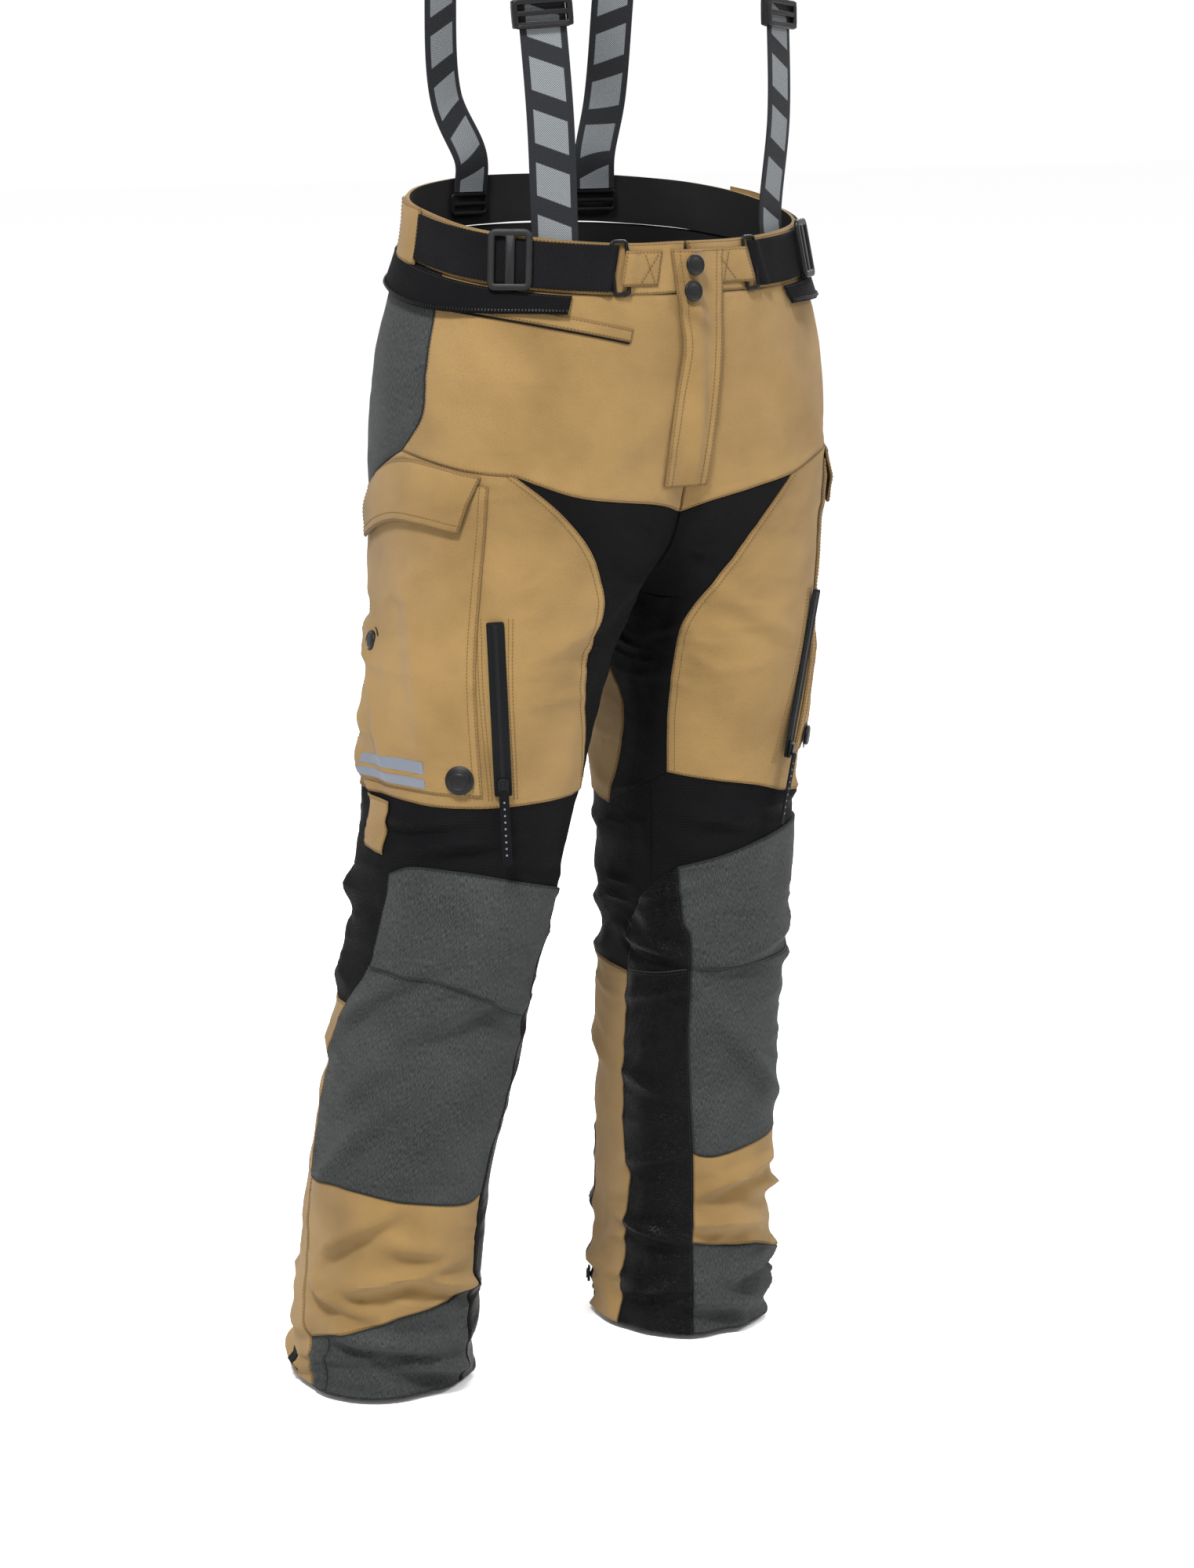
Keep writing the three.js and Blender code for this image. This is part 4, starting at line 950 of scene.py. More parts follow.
class Paint:
    """One material, built up on its node tree."""

    def __init__(self, name: str) -> None:
        """Starts a material with a plain surface.

        Args:
            name: the material's name.
        """
        self.material = bpy.data.materials.new(name)
        self.material.use_nodes = True
        self.tree = self.material.node_tree
        self.tree.nodes.clear()
        self.surface = self.tree.nodes.new("ShaderNodeBsdfPrincipled")
        output = self.tree.nodes.new("ShaderNodeOutputMaterial")
        self.tree.links.new(self.surface.outputs[0], output.inputs[0])

    def node(self, kind: str, settings: dict[str, Any], inputs: dict[Any, Any], output: Any = 0) -> Wire:
        """Adds a node.

        Args:
            kind: the node's type.
            settings: its settings, made first because they can change its sockets.
            inputs: values or wires by socket.
            output: the output that is wanted.

        Returns:
            a wire from that output.
        """
        made = self.tree.nodes.new(kind)
        for key, value in settings.items():
            setattr(made, key, value)
        for key, value in inputs.items():
            self.plug(made.inputs[key], value)
        return Wire(self, made.outputs[output])

    def plug(self, socket: bpy.types.NodeSocket, value: Any) -> None:
        """Gives a socket a wire or a plain value."""
        if isinstance(value, Wire):
            self.tree.links.new(value.socket, socket)
        else:
            socket.default_value = value

    def mix(self, share: Any, first: Any, second: Any) -> Wire:
        """A colour between two colours."""
        return self.node("ShaderNodeMix", {"data_type": "RGBA"}, {0: share, 6: first, 7: second}, 2)

    def cloth(self) -> Wire:
        """Places along the cloth, in metres."""
        return self.node("ShaderNodeUVMap", {"uv_map": "cloth"}, {})

    def part(self, vector: Wire, axis: int) -> Wire:
        """One number of a vector."""
        return self.node("ShaderNodeSeparateXYZ", {}, {0: vector}, axis)

    def stretched(self, vector: Wire, *scale: float) -> Wire:
        """A vector with each number multiplied."""
        return self.node("ShaderNodeVectorMath", {"operation": "MULTIPLY"}, {0: vector, 1: scale})

    def noise(self, vector: Wire, scale: float, detail: float = 2.0) -> Wire:
        """Cloudy noise about 0.5."""
        return self.node("ShaderNodeTexNoise", {}, {"Vector": vector, "Scale": scale, "Detail": detail})

    def rim(self) -> Wire:
        """Distance from the panel's edge, in millimetres."""
        return self.node("ShaderNodeAttribute", {"attribute_name": "rim"}, {}, "Fac")

    def relief(self, height: Wire, distance: float, strength: float = 1.0) -> Wire:
        """A normal bumped by a height, distance being in metres."""
        return self.node("ShaderNodeBump", {}, {"Strength": strength, "Distance": distance, "Height": height})

    def finished(self, **inputs: Any) -> bpy.types.Material:
        """Sets the surface's sockets, whose names have underscores for spaces, and gives the material."""
        for key, value in inputs.items():
            self.plug(self.surface.inputs[key.replace("_", " ")], value)
        return self.material


def woven(
    name: str, colour: Sequence[float], dark: Sequence[float], pitch: float, mottle: float = 1.0, sheen: float = 0.05,
) -> bpy.types.Material:
    """Twill: a diagonal weave, mottled, with painted shade darkening it along its edges and seams.

    Args:
        name: the material's name.
        colour: its main colour.
        dark: its darker colour, for the mottling and for the painted shade along its edges.
        pitch: from one diagonal rib to the next, in metres.
        mottle: how strong the clouds are.
        sheen: how much light its fuzz catches.

    Returns:
        the material.
    """
    paint = Paint(name)
    place = paint.cloth()
    u, v = paint.part(place, 0), paint.part(place, 1)
    rib = ((u + v) * (2 * math.pi / pitch)).sine()
    cross = ((u - v * 0.4) * (2 * math.pi / (pitch * 0.8))).sine()
    cloud = paint.noise(place, 9.0, 4.0) - 0.5
    grain = paint.noise(paint.stretched(place, 1.0, 1.3, 1.0), 900.0, 1.0) - 0.5
    # Painted shade: within about 2.6 mm of a panel's edge, where the cloth turns in at its seams, the colour is pulled
    # towards the dark one.
    edge = 1.0 - paint.rim().step(0.0, 2.6)
    share = 0.34 + cloud * (1.1 * mottle) + grain * 0.5 - rib * 0.09 + edge * 0.42
    height = rib * 0.5 + cross * 0.3 + grain * 1.6 + paint.noise(place, 150.0, 2.0) * 1.2
    return paint.finished(
        Base_Color=paint.mix(share.step(0.0, 1.0), colour, dark), Roughness=0.86, Sheen_Weight=sheen,
        Sheen_Roughness=0.5, Specular_IOR_Level=0.14, Normal=paint.relief(height, 0.0003, 0.7),
    )


def melange(name: str, light: Sequence[float], dark: Sequence[float]) -> bpy.types.Material:
    """Heavy woven cloth of mixed light and dark yarns that run down it, over a fine diagonal, with painted shade
    darkening it along its edges and seams.
    """
    paint = Paint(name)
    place = paint.cloth()
    u, v = paint.part(place, 0), paint.part(place, 1)
    yarn = paint.noise(paint.stretched(place, 1400.0, 230.0, 1.0), 1.0, 1.0)
    cloud = paint.noise(place, 14.0, 3.0) - 0.5
    rib = ((u + v * 0.55) * (2 * math.pi / 0.0014)).sine()
    # Painted shade: within about 2.6 mm of a panel's edge, where the cloth turns in at its seams, the colour is pulled
    # towards the dark one.
    edge = 1.0 - paint.rim().step(0.0, 2.6)
    share = yarn.step(0.25, 0.75) * 0.5 + 0.15 + cloud * 0.4 - edge * 0.5 + rib * 0.08
    height = yarn * 0.15 + rib * 0.5
    return paint.finished(
        Base_Color=paint.mix(share.step(0.0, 1.0), dark, light), Roughness=0.84, Sheen_Weight=0.02,
        Specular_IOR_Level=0.08, Normal=paint.relief(height, 0.0003, 0.7),
    )


def ribbed(name: str, colour: Sequence[float], light: Sequence[float], pitch: float, down: bool) -> bpy.types.Material:
    """Ribbed black cloth or tape: fine ribs across it or down it, in metres of pitch."""
    paint = Paint(name)
    place = paint.cloth()
    rib = (paint.part(place, 0 if down else 1) * (2 * math.pi / pitch)).sine()
    grain = paint.noise(place, 700.0, 2.0) - 0.5
    share = 0.3 + rib * 0.22 + grain * 0.7 + (paint.noise(place, 18.0, 3.0) - 0.5) * 0.7
    return paint.finished(
        Base_Color=paint.mix(share.step(0.0, 1.0), colour, light), Roughness=0.8, Sheen_Weight=0.0,
        Specular_IOR_Level=0.06, Normal=paint.relief(rib + grain * 1.2, 0.00028, 0.7),
    )


def grained(name: str, colour: Sequence[float], light: Sequence[float]) -> bpy.types.Material:
    """Leather: pebbled grain parted by fine creases, with soft wear."""
    paint = Paint(name)
    place = paint.cloth()
    bent = paint.node(
        "ShaderNodeVectorMath", {"operation": "ADD"},
        {0: place, 1: paint.stretched(paint.node("ShaderNodeTexNoise", {}, {"Vector": place, "Scale": 90.0}, 1),
                                      0.004, 0.004, 0.004)},
    )
    cell = paint.node("ShaderNodeTexVoronoi", {"feature": "DISTANCE_TO_EDGE"}, {"Vector": bent, "Scale": 520.0})
    crease = paint.noise(paint.stretched(place, 0.55, 1.7, 1.0), 70.0, 4.0)
    wear = paint.noise(place, 26.0, 3.0)
    height = cell.step(0.0, 0.28) * 0.8 + crease * 1.8
    share = (wear - 0.35) * 0.9 + cell.step(0.0, 0.2) * 0.25
    return paint.finished(
        Base_Color=paint.mix(share.step(0.0, 1.0), colour, light), Roughness=0.3 + wear * 0.2,
        Specular_IOR_Level=0.06, Normal=paint.relief(height, 0.0006, 0.75),
    )


def plain(name: str, colour: Sequence[float], roughness: float, metallic: float = 0.0) -> bpy.types.Material:
    """Moulded plastic, coated metal or foam: one colour with a faint texture in its surface."""
    paint = Paint(name)
    place = paint.node("ShaderNodeTexCoord", {}, {}, "Object")
    fine = paint.noise(place, 900.0, 2.0)
    return paint.finished(
        Base_Color=colour, Roughness=paint.noise(place, 60.0, 2.0) * 0.2 + (roughness - 0.1), Metallic=metallic,
        Specular_IOR_Level=0.18,
        Normal=paint.relief(fine, 0.00008, 0.6),
    )


def strapping() -> bpy.types.Material:
    """The braces' webbing: ribbed black with a line of slanted silver mesh blocks."""
    paint = Paint("strapping")
    place = paint.cloth()
    across, along = paint.part(place, 0), paint.part(place, 1)
    slanted = (along + across * 0.42).beat(0.046)
    block = (slanted - 0.5).size()
    inside = (1.0 - block.step(0.305, 0.325)) * (1.0 - across.size().step(0.0146, 0.0152))
    mesh = ((along * (2 * math.pi / 0.0021)).sine() * (across * (2 * math.pi / 0.0021)).sine() + 0.15).step(0.0, 0.35)
    rib = (across * (2 * math.pi / 0.0016)).sine() + (along * (2 * math.pi / 0.0013)).sine() * 0.6
    base = paint.mix((rib * 0.2 + 0.3).step(0.0, 1.0), shade(7, 8, 11), shade(19, 20, 25))
    silver = paint.mix(mesh, shade(58, 61, 63), shade(104, 107, 109))
    return paint.finished(
        Base_Color=paint.mix(inside, base, silver), Roughness=0.7 - inside * 0.2, Specular_IOR_Level=0.18,
        Normal=paint.relief(rib * 0.5 + inside * 1.5, 0.00025, 0.6),
    )


@dataclass(frozen=True)
class Finishes:
    """Every material of the garment, by what it is used on."""

    tan: bpy.types.Material
    stretch: bpy.types.Material
    grey: bpy.types.Material
    leather: bpy.types.Material
    webbing: bpy.types.Material
    brace: bpy.types.Material
    tape: bpy.types.Material
    plastic: bpy.types.Material
    metal: bpy.types.Material
    foam: bpy.types.Material
    lining: bpy.types.Material
    tan_thread: bpy.types.Material
    black_thread: bpy.types.Material
    reflective: bpy.types.Material

    @classmethod
    def mixed(cls) -> "Finishes":
        """Makes the materials."""
        return cls(
            tan=woven("shell_tan", shade(119, 95, 57), shade(80, 61, 33), 0.0011),
            stretch=ribbed("stretch_black", shade(3, 3, 4), shade(11, 11, 12), 0.0016, False),
            grey=melange("woven_grey", shade(56, 58, 58), shade(22, 23, 23)),
            leather=grained("leather", shade(2, 2, 2), shade(7, 7, 7)),
            webbing=ribbed("webbing", shade(5, 5, 6), shade(17, 17, 19), 0.0019, True),
            brace=strapping(),
            tape=ribbed("zip_tape", shade(8, 9, 10), shade(20, 21, 23), 0.0012, True),
            plastic=plain("hard_plastic", shade(6, 6, 7), 0.48),
            metal=plain("dark_metal", shade(22, 22, 23), 0.4, 0.75),
            foam=plain("armour_foam", shade(24, 25, 28), 0.8),
            lining=plain("lining", shade(12, 12, 13), 0.85),
            tan_thread=plain("tan_thread", shade(78, 58, 30), 0.7),
            black_thread=plain("black_thread", shade(14, 14, 15), 0.65),
            reflective=plain("reflective", shade(88, 93, 101), 0.5, 0.25),
        )


# ---- What the pieces are made with ------------------------------------------------------------------------


@dataclass
class Workshop:
    """The surface, the finishes and the thread that every piece is made with."""

    body: Body
    drape: Drape
    finishes: Finishes
    threads: dict[tuple[str, str, Side | None], list[Shape]] = field(default_factory=dict)

    def sew(self, piece: Piece, colour: str, path: Array, beside: Array, **how: Any) -> None:
        """Lays a row of stitches that goes with a piece."""
        row = stitched(path, beside, **how)
        self.threads.setdefault((colour, piece.body, piece.knee), []).append(row)

    def hem(self, piece: Piece, cloth: Cloth, colour: str, rows: str, span: tuple[float, float] = (0.0, 1.0)) -> None:
        """Sews rows beside a panel's edges, each given as an edge's letter and 1 or 2 rows, such as t2."""
        for word in rows.split():
            for distance in (2.1, 8.0)[: int(word[1])]:
                self.sew(piece, colour, *cloth.seam(word[0], distance, span))

    def panel(
        self, piece: Piece, cloth: Cloth, colour: str = "tan", rows: str = "", held: str = "stretched",
        rests_on: Sequence[str] = (),
    ) -> bpy.types.Object:
        """Args:
            piece: its name, finish, body and nodes.
            cloth: the cut panel.
            colour: the thread's colour.
            rows: its rows of stitches, as hem takes them.
            held: not used.
            rests_on: not used.

        Returns:
            the object.
        """
        self.hem(piece, cloth, colour, rows)
        made = make(cloth.shape(), piece)
        flat, area = cloth.flat()
        return made

    def seam_on(
        self, piece: Piece, colour: str, side: Side, points: Sequence[Sequence[float]], gaps: Sequence[float] = (),
        lift: float = 0.0, cord: float = 0.0,
    ) -> None:
        """Sews rows along a line on the draped cloth, with a cord along it if asked.

        Args:
            piece: what the rows go with.
            colour: the thread's colour.
            side: the half that the line is on.
            points: angles and heights that the line passes.
            gaps: how far to the line's lower or later side each row runs, in millimetres.
            lift: how far the cloth there stands off the shell.
            cord: radius of the cord, or 0 for none.
        """
        place = line(points)(np.linspace(0.0, 1.0, 60))
        path = self.drape.cloth(side, place[:, 0], place[:, 1], lift)
        up = unit(self.drape.cloth(side, place[:, 0], place[:, 1] + 2.0, lift) - path)
        ahead = unit(np.gradient(path, axis=0))
        radial = self.body.point(side, place[:, 0], place[:, 1], 1.0) - self.body.point(side, place[:, 0], place[:, 1])
        normal = unit(np.cross(ahead, up))
        normal *= np.sign((normal * radial).sum(-1, keepdims=True))
        beside = unit(np.cross(normal, ahead))
        beside *= np.where((beside * up).sum() > 0, -1.0, 1.0)
        sewn = self.threads.setdefault((colour, piece.body, piece.knee), [])
        if cord:
            sewn.append(tube(path, cord, 6))
        for gap in gaps:
            row = path + beside * gap
            if (np.cross(ahead, beside) * normal).sum() < 0:
                sewn.append(stitched(row, row - beside * 1.5))
            else:
                sewn.append(stitched(row, row + beside * 1.5))

    def draw_threads(self) -> None:
        """Makes the sewn rows, one piece for each colour on each body."""
        for (colour, body, knee), rows in self.threads.items():
            finish = getattr(self.finishes, f"{colour}_thread")
            name = f"{colour}_stitches_{'knee_' + knee.label if knee else body}"
            slot_name = "shell_tan" if colour == "tan" else "stretch_black"
            make(merged(rows), Piece(name, [finish], slot_name, body, knee=knee, sharp=180.0))


def coons(top: Any, bottom: Any, left: Any, right: Any) -> Patch:
    """A patch from four lines, each given as a line or as its points."""
    return Patch(*(edge if callable(edge) else line(edge) for edge in (top, bottom, left, right)))


FRONT_SEAM = {
    Side.LEFT: [[-4, UP(0.834)], [-31, LEG(0.012)], [-43, LEG(0.06)], [-50, LEG(0.15)], [-51, LEG(0.237)]],
    Side.RIGHT: [[24, UP(0.735)], [4, UP(0.86)], [-10, LEG(0)], [-16, LEG(0.09)], [-30, LEG(0.16)], [-46, LEG(0.238)]],
}
HORN = {Side.LEFT: [22, UP(0.675)], Side.RIGHT: [44, UP(0.632)]}
BACK_SEAM = [[-112, LEG(0.035)], [-105, LEG(0.078)], [-92, LEG(0.115)], [-81, LEG(0.16)], [-85, LEG(0.22)],
             [-99, LEG(0.292)]]
KNEE_LINE = {
    Side.LEFT: [[-51, 0.237], [-3, 0.256], [24, 0.272], [60, 0.278], [100, 0.27], [150, 0.265], [215, 0.278],
                [261, 0.292]],
    Side.RIGHT: [[-46, 0.238], [0, 0.24], [50, 0.24], [94, 0.234], [150, 0.245], [215, 0.27], [261, 0.292]],
}


def down_leg(points: Sequence[Sequence[float]]) -> Edge:
    """A line through angles and shares of the leg."""
    return line([[angle, LEG(share)] for angle, share in points])


class UpperShell:
    """Yokes, seat, thighs and inner thighs: the cloth above the knees."""

    def __init__(self, shop: Workshop, side: Side) -> None:
        """Lays out the panels' edges.

        Args:
            shop: what the pieces are made with.
            side: the half that they are on.
        """
        self.shop, self.side = shop, side
        body = shop.body

        def band_bottom(angle: float) -> float:
            return float(body.band_level(side, np.array(angle, float), -body.cut.band_height / 2)) - 0.8

        def middle(find: Callable[[Side, Array], Array], top: float, bottom: float, steps: int) -> Edge:
            heights = np.linspace(top, bottom, steps)
            return line(np.column_stack([find(side, heights), heights]))

        self.front_middle = middle(body.front_angle, band_bottom(0.0), UP(0.76), 13)
        self.back_middle = middle(body.back_angle, band_bottom(180.0), UP(0.985), 13)
        gusset_front = middle(body.front_angle, UP(0.76), LEG(0), 7)
        end, tail = self.front_middle(np.ones(1))[0], self.back_middle(np.ones(1))[0]
        horn = HORN[side]
        self.band_bottom = band_bottom
        self.hip = line([[80, band_bottom(80)], [79, UP(0.35)], [79, UP(0.48)], [88, UP(0.578)]])
        self.yoke_inner = line([end, [-18, UP(0.73)], [horn[0] / 2 - 4, UP(0.695)], horn])
        self.yoke_outer = line([horn, [(horn[0] + 78) / 2, UP(0.62)], [88, UP(0.578)]])
        self.seat_bottom = line([[88, UP(0.578)], [130, UP(0.73)], [175, UP(0.88)], [215, UP(0.96)], tail])
        self.gusset_back = line([[tail[0] - 360, tail[1]], *BACK_SEAM])
        self.front_seam = line([horn, *FRONT_SEAM[side]])
        self.gusset_front = gusset_front

    def patches(self) -> dict[str, Patch]:
        """The four panels' patches."""
        start = self.front_middle(np.zeros(1))[0][0]
        tail = self.back_middle(np.zeros(1))[0][0]
        tops = {
            "front": line([[a, self.band_bottom(a)] for a in np.linspace(start, 80, 9)]),
            "back": line([[a, self.band_bottom(a)] for a in np.linspace(80, tail, 9)]),
        }
        inner_foot = line([FRONT_SEAM[self.side][-1], [-75, LEG(0.265)], BACK_SEAM[-1]])
        return {
            "front_yoke": Patch(tops["front"], joined(self.yoke_inner, self.yoke_outer, 5 / 9), self.front_middle,
                                self.hip),
            "seat_panel": Patch(tops["back"], self.seat_bottom, self.hip, self.back_middle),
            "thigh_panel": Patch(joined(self.yoke_outer, self.seat_bottom, 0.3), down_leg(KNEE_LINE[self.side]),
                                 self.front_seam, turned(self.gusset_back, 360.0)),
            "inner_thigh_panel": Patch(back(self.yoke_inner), inner_foot, self.front_seam,
                                       joined(self.gusset_front, self.gusset_back, 5 / 12)),
        }

    def build(self) -> None:
        """Makes the panels."""
        finishes, n = self.shop.finishes, self.side.label
        looks = {
            "front_yoke": (finishes.tan, "shell_tan", "tan", "b1 r1", "b"),
            "seat_panel": (finishes.grey, "woven_grey", "black", "", ""),
            "thigh_panel": (finishes.tan, "shell_tan", "tan", "l2 b1 r1", "l"),
            "inner_thigh_panel": (finishes.stretch, "stretch_black", "black", "", ""),
        }
        for name, patch in self.patches().items():
            finish, slot_name, colour, rows, felled = looks[name]
            cloth = Cloth.cut(self.surface(patch), felled=felled)
            piece = Piece(f"{name}_{n}_cloth", [finish, finishes.lining], slot_name, "trousers", [f"{name}_{n}"])
            self.shop.panel(piece, cloth, colour, rows)

    def surface(self, patch: Patch) -> Callable[[Array, Array, Array], Array]:
        """The draped surface of a patch."""

        def point(s: Array, t: Array, out: Array) -> Array:
            place = patch.at(s, t)
            found = self.shop.drape.cloth(self.side, place[..., 0], place[..., 1], out)
            bare = np.abs(self.shop.body.point(self.side, place[..., 0], place[..., 1])[..., 0])
            found[..., 0] *= 1.0 - 0.9 * bump(bare, 0.5 * self.shop.body.cut.centre_gap, 2.0)
            return found

        return point


PATCH_TOP = [[-45, 0.36], [0, 0.334], [30, 0.319], [60, 0.315], [76, 0.327]]
PATCH_INNER = [[-45, 0.36], [-42, 0.427], [-37, 0.455], [-36, 0.52], [-36, 0.59], [-34, 0.67], [-31, 0.748]]
PATCH_OUTER = [[76, 0.327], [77, 0.375], [79, 0.42], [86, 0.46], [98, 0.5]]
CALF_FRONT = [[98, 0.5], [113, 0.556], [116, 0.6], [115, 0.655], [112, 0.733]]
PATCH_BOTTOM = [[-31, 0.748], [-15, 0.755], [27, 0.741], [63, 0.73], [112, 0.733]]
SHIN_OUTER = [[112, 0.733], [108, 0.795], [103, 0.875], [92, 0.937]]
SHIN_INNER = [[-31, 0.748], [-30, 0.81], [-30, 0.873]]
HEM_TOP = [[-30, 0.873], [-4, 0.882], [24, 0.892], [55, 0.914], [92, 0.937]]
HEM_INNER = [[-30, 0.873], [-28, 1]]
HEM_OUTER = [[92, 0.937], [85, 1]]
LEATHER_TOP = [[-82, 0.44], [-60, 0.385], [-45, 0.36]]
LEATHER_BACK = [[-82, 0.44], [-82, 0.55], [-83, 0.73], [-76, 0.79], [-80, 0.88], [-84, 1]]
CALF_TOP = [[98, 0.5], [180, 0.496], [235, 0.503], [278, 0.51]]
CALF_BACK = [[278, 0.51], [278, 0.55], [277, 0.73], [284, 0.79], [280, 0.88], [276, 1]]


class LowerLeg:
    """Knee, shin, calf and hem of one leg, with the armour behind the knee patch."""

    def __init__(self, shop: Workshop, side: Side) -> None:
        """Takes the leg's side.

        Args:
            shop: what the pieces are made with.
            side: the leg.
        """
        self.shop, self.side = shop, side

    def patches(self) -> dict[str, Patch]:
        """The five panels' patches below the knee line."""
        down = down_leg
        inner = joined(down(PATCH_INNER), joined(down(SHIN_INNER), down(HEM_INNER), 0.5), 5 / 9)
        calf_front = joined(down(CALF_FRONT), joined(down(SHIN_OUTER), down(HEM_OUTER), 0.6), 4 / 9)
        return {
            "knee_patch": Patch(down(PATCH_TOP), down(PATCH_BOTTOM), down(PATCH_INNER),
                                joined(down(PATCH_OUTER), down(CALF_FRONT), 0.4)),
            "shin_panel": Patch(down(PATCH_BOTTOM), down(HEM_TOP), down(SHIN_INNER), down(SHIN_OUTER)),
            "hem_band": Patch(down(HEM_TOP), down([[-28, 1], [85, 1]]), down(HEM_INNER), down(HEM_OUTER)),
            "inner_leather": Patch(down(LEATHER_TOP), down([[-84, 1], [-28, 1]]), down(LEATHER_BACK), inner),
            "calf_panel": Patch(down(CALF_TOP), down([[85, 1], [276, 1]]), calf_front, down(CALF_BACK)),
        }

    def surface(self, patch: Patch, lift: float = 0.0) -> Callable[[Array, Array, Array], Array]:
        """The draped surface of a patch, raised by lift."""

        def point(s: Array, t: Array, out: Array) -> Array:
            place = patch.at(s, t)
            return self.shop.drape.cloth(self.side, place[..., 0], place[..., 1], out + lift)

        return point

    def build(self) -> None:
        """Makes the panels, the stretch ring and the armour."""
        finishes, n = self.shop.finishes, self.side.label
        lower = f"lower_leg_{n}"
        looks = {
            "knee_patch": (finishes.grey, "woven_grey", "black", "t1 l1 r1 b1", "tlr", self.side, 0.6),
            "shin_panel": (finishes.tan, "shell_tan", "tan", "b1", "", None, 0.0),
            "hem_band": (finishes.grey, "woven_grey", "black", "t1 b1", "", None, 0.3),
            "inner_leather": (finishes.leather, "leather", "black", "l1 r1", "r", self.side, 0.5),
            "calf_panel": (finishes.tan, "shell_tan", "tan", "t1 l1", "l", self.side, 0.0),
        }
        for name, patch in self.patches().items():
            finish, slot_name, colour, rows, felled, knee, lift = looks[name]
            cloth = Cloth.cut(self.surface(patch, lift), felled=felled)
            piece = Piece(f"{name}_{n}_cloth", [finish, finishes.lining], slot_name, lower, [f"{name}_{n}"], knee)
            self.shop.panel(piece, cloth, colour, rows)
        ring = coons([[-62, LEG(0.225)], [118, LEG(0.225)], [298, LEG(0.225)]],
                     [[-62, LEG(0.52)], [118, LEG(0.52)], [298, LEG(0.52)]],
                     [[-62, LEG(0.225)], [-62, LEG(0.52)]], [[298, LEG(0.225)], [298, LEG(0.52)]])
        across = [[83, -653], [58, -654], [31.5, -661], [8, -676], [-15, -696], [-34, -706]]
        if self.side is Side.LEFT:
            across = [[-35.5, -689], [-8, -690], [21, -688], [52, -678], [79, -668]]
        patch_piece = Piece("", [], "", lower, knee=self.side)
        self.shop.seam_on(patch_piece, "black", self.side, across, (2.6,), 1.0, 0.9)
        self.shop.seam_on(patch_piece, "black", self.side, [[-79, -697], [-58, -695], [-38, -690]], (2.6,), 0.8, 0.8)
        self.shop.seam_on(Piece("", [], "", lower), "black", self.side,
                          [[72, LEG(0.926)], [71, LEG(0.96)], [70, LEG(0.998)]], (2.2,), 0.6, 0.7)
        self.labels(lower)
        name = f"knee_stretch_panel_{n}"
        piece = Piece(f"{name}_cloth", [finishes.stretch, finishes.lining], "stretch_black", lower, [name], self.side)
        self.shop.panel(piece, Cloth.cut(self.surface(ring, -1.6), spacing=5.0))
        self.armour()

    def labels(self, lower: str) -> None:
        """Makes the blank tag at the hem and, above the knee, the end of the lining that shows under the thigh."""
        shop, side, n = self.shop, self.side, self.side.label
        for name, corner, size, finish, slot_name, colour, body in (
            (f"hem_tag_{n}", (107, -1037), (12, 17), shop.finishes.tape, "zip_tape", "black", lower),
            (f"thigh_facing_{n}", (83, -500), (21, 48), shop.finishes.tan, "shell_tan", "tan", "trousers"),
        ):

            def point(s: Array, t: Array, out: Array) -> Array:
                angle, z = corner[0] + size[0] * s, corner[1] - size[1] * t - 3.0 * (1 - s)
                return shop.drape.cloth(side, angle, z, out + 0.9)

            piece = Piece(name, [finish, finish], slot_name, body)
            shop.panel(piece, Cloth.cut(point, thick=1.3, depth=0.5), colour, "t1 b1",
                       rests_on=[f"calf_panel_{n}_cloth" if body == lower else f"knee_stretch_panel_{n}_cloth"])

    def armour(self) -> None:
        """The foam cup behind the knee patch, thick in its middle."""
        cup = coons([[-24, LEG(0.385)], [16, LEG(0.362)], [56, LEG(0.372)]],
                    [[-18, LEG(0.62)], [20, LEG(0.65)], [58, LEG(0.62)]],
                    [[-24, LEG(0.385)], [-27, LEG(0.48)], [-18, LEG(0.62)]],
                    [[56, LEG(0.372)], [62, LEG(0.48)], [58, LEG(0.62)]])
        s, t = np.meshgrid(np.linspace(0, 1, 26), np.linspace(0, 1, 34))
        place = cup.at(s, t)
        swell = np.sin(np.pi * s) * np.sin(np.pi * t)
        outer = self.shop.body.point(self.side, place[..., 0], place[..., 1], -8.2 + 1.6 * np.minimum(swell * 3, 1))
        inner = self.shop.body.point(self.side, place[..., 0], place[..., 1], -9.9 - 5.0 * swell)
        across, down = run_lengths(outer, 1), run_lengths(outer, 0)
        shape = closed_wall(outer, inner, np.stack([across, -down], -1) * MM, np.full(s.shape, 9.0)).with_skin(0)
        name = f"knee_protector_{self.side.label}"
        lower = f"lower_leg_{self.side.label}"
        made = make(shape, Piece(f"{name}_foam", [self.shop.finishes.foam], "armour_foam", lower, [name], self.side))


# ---- Waist ------------------------------------------------------------------------------------------------


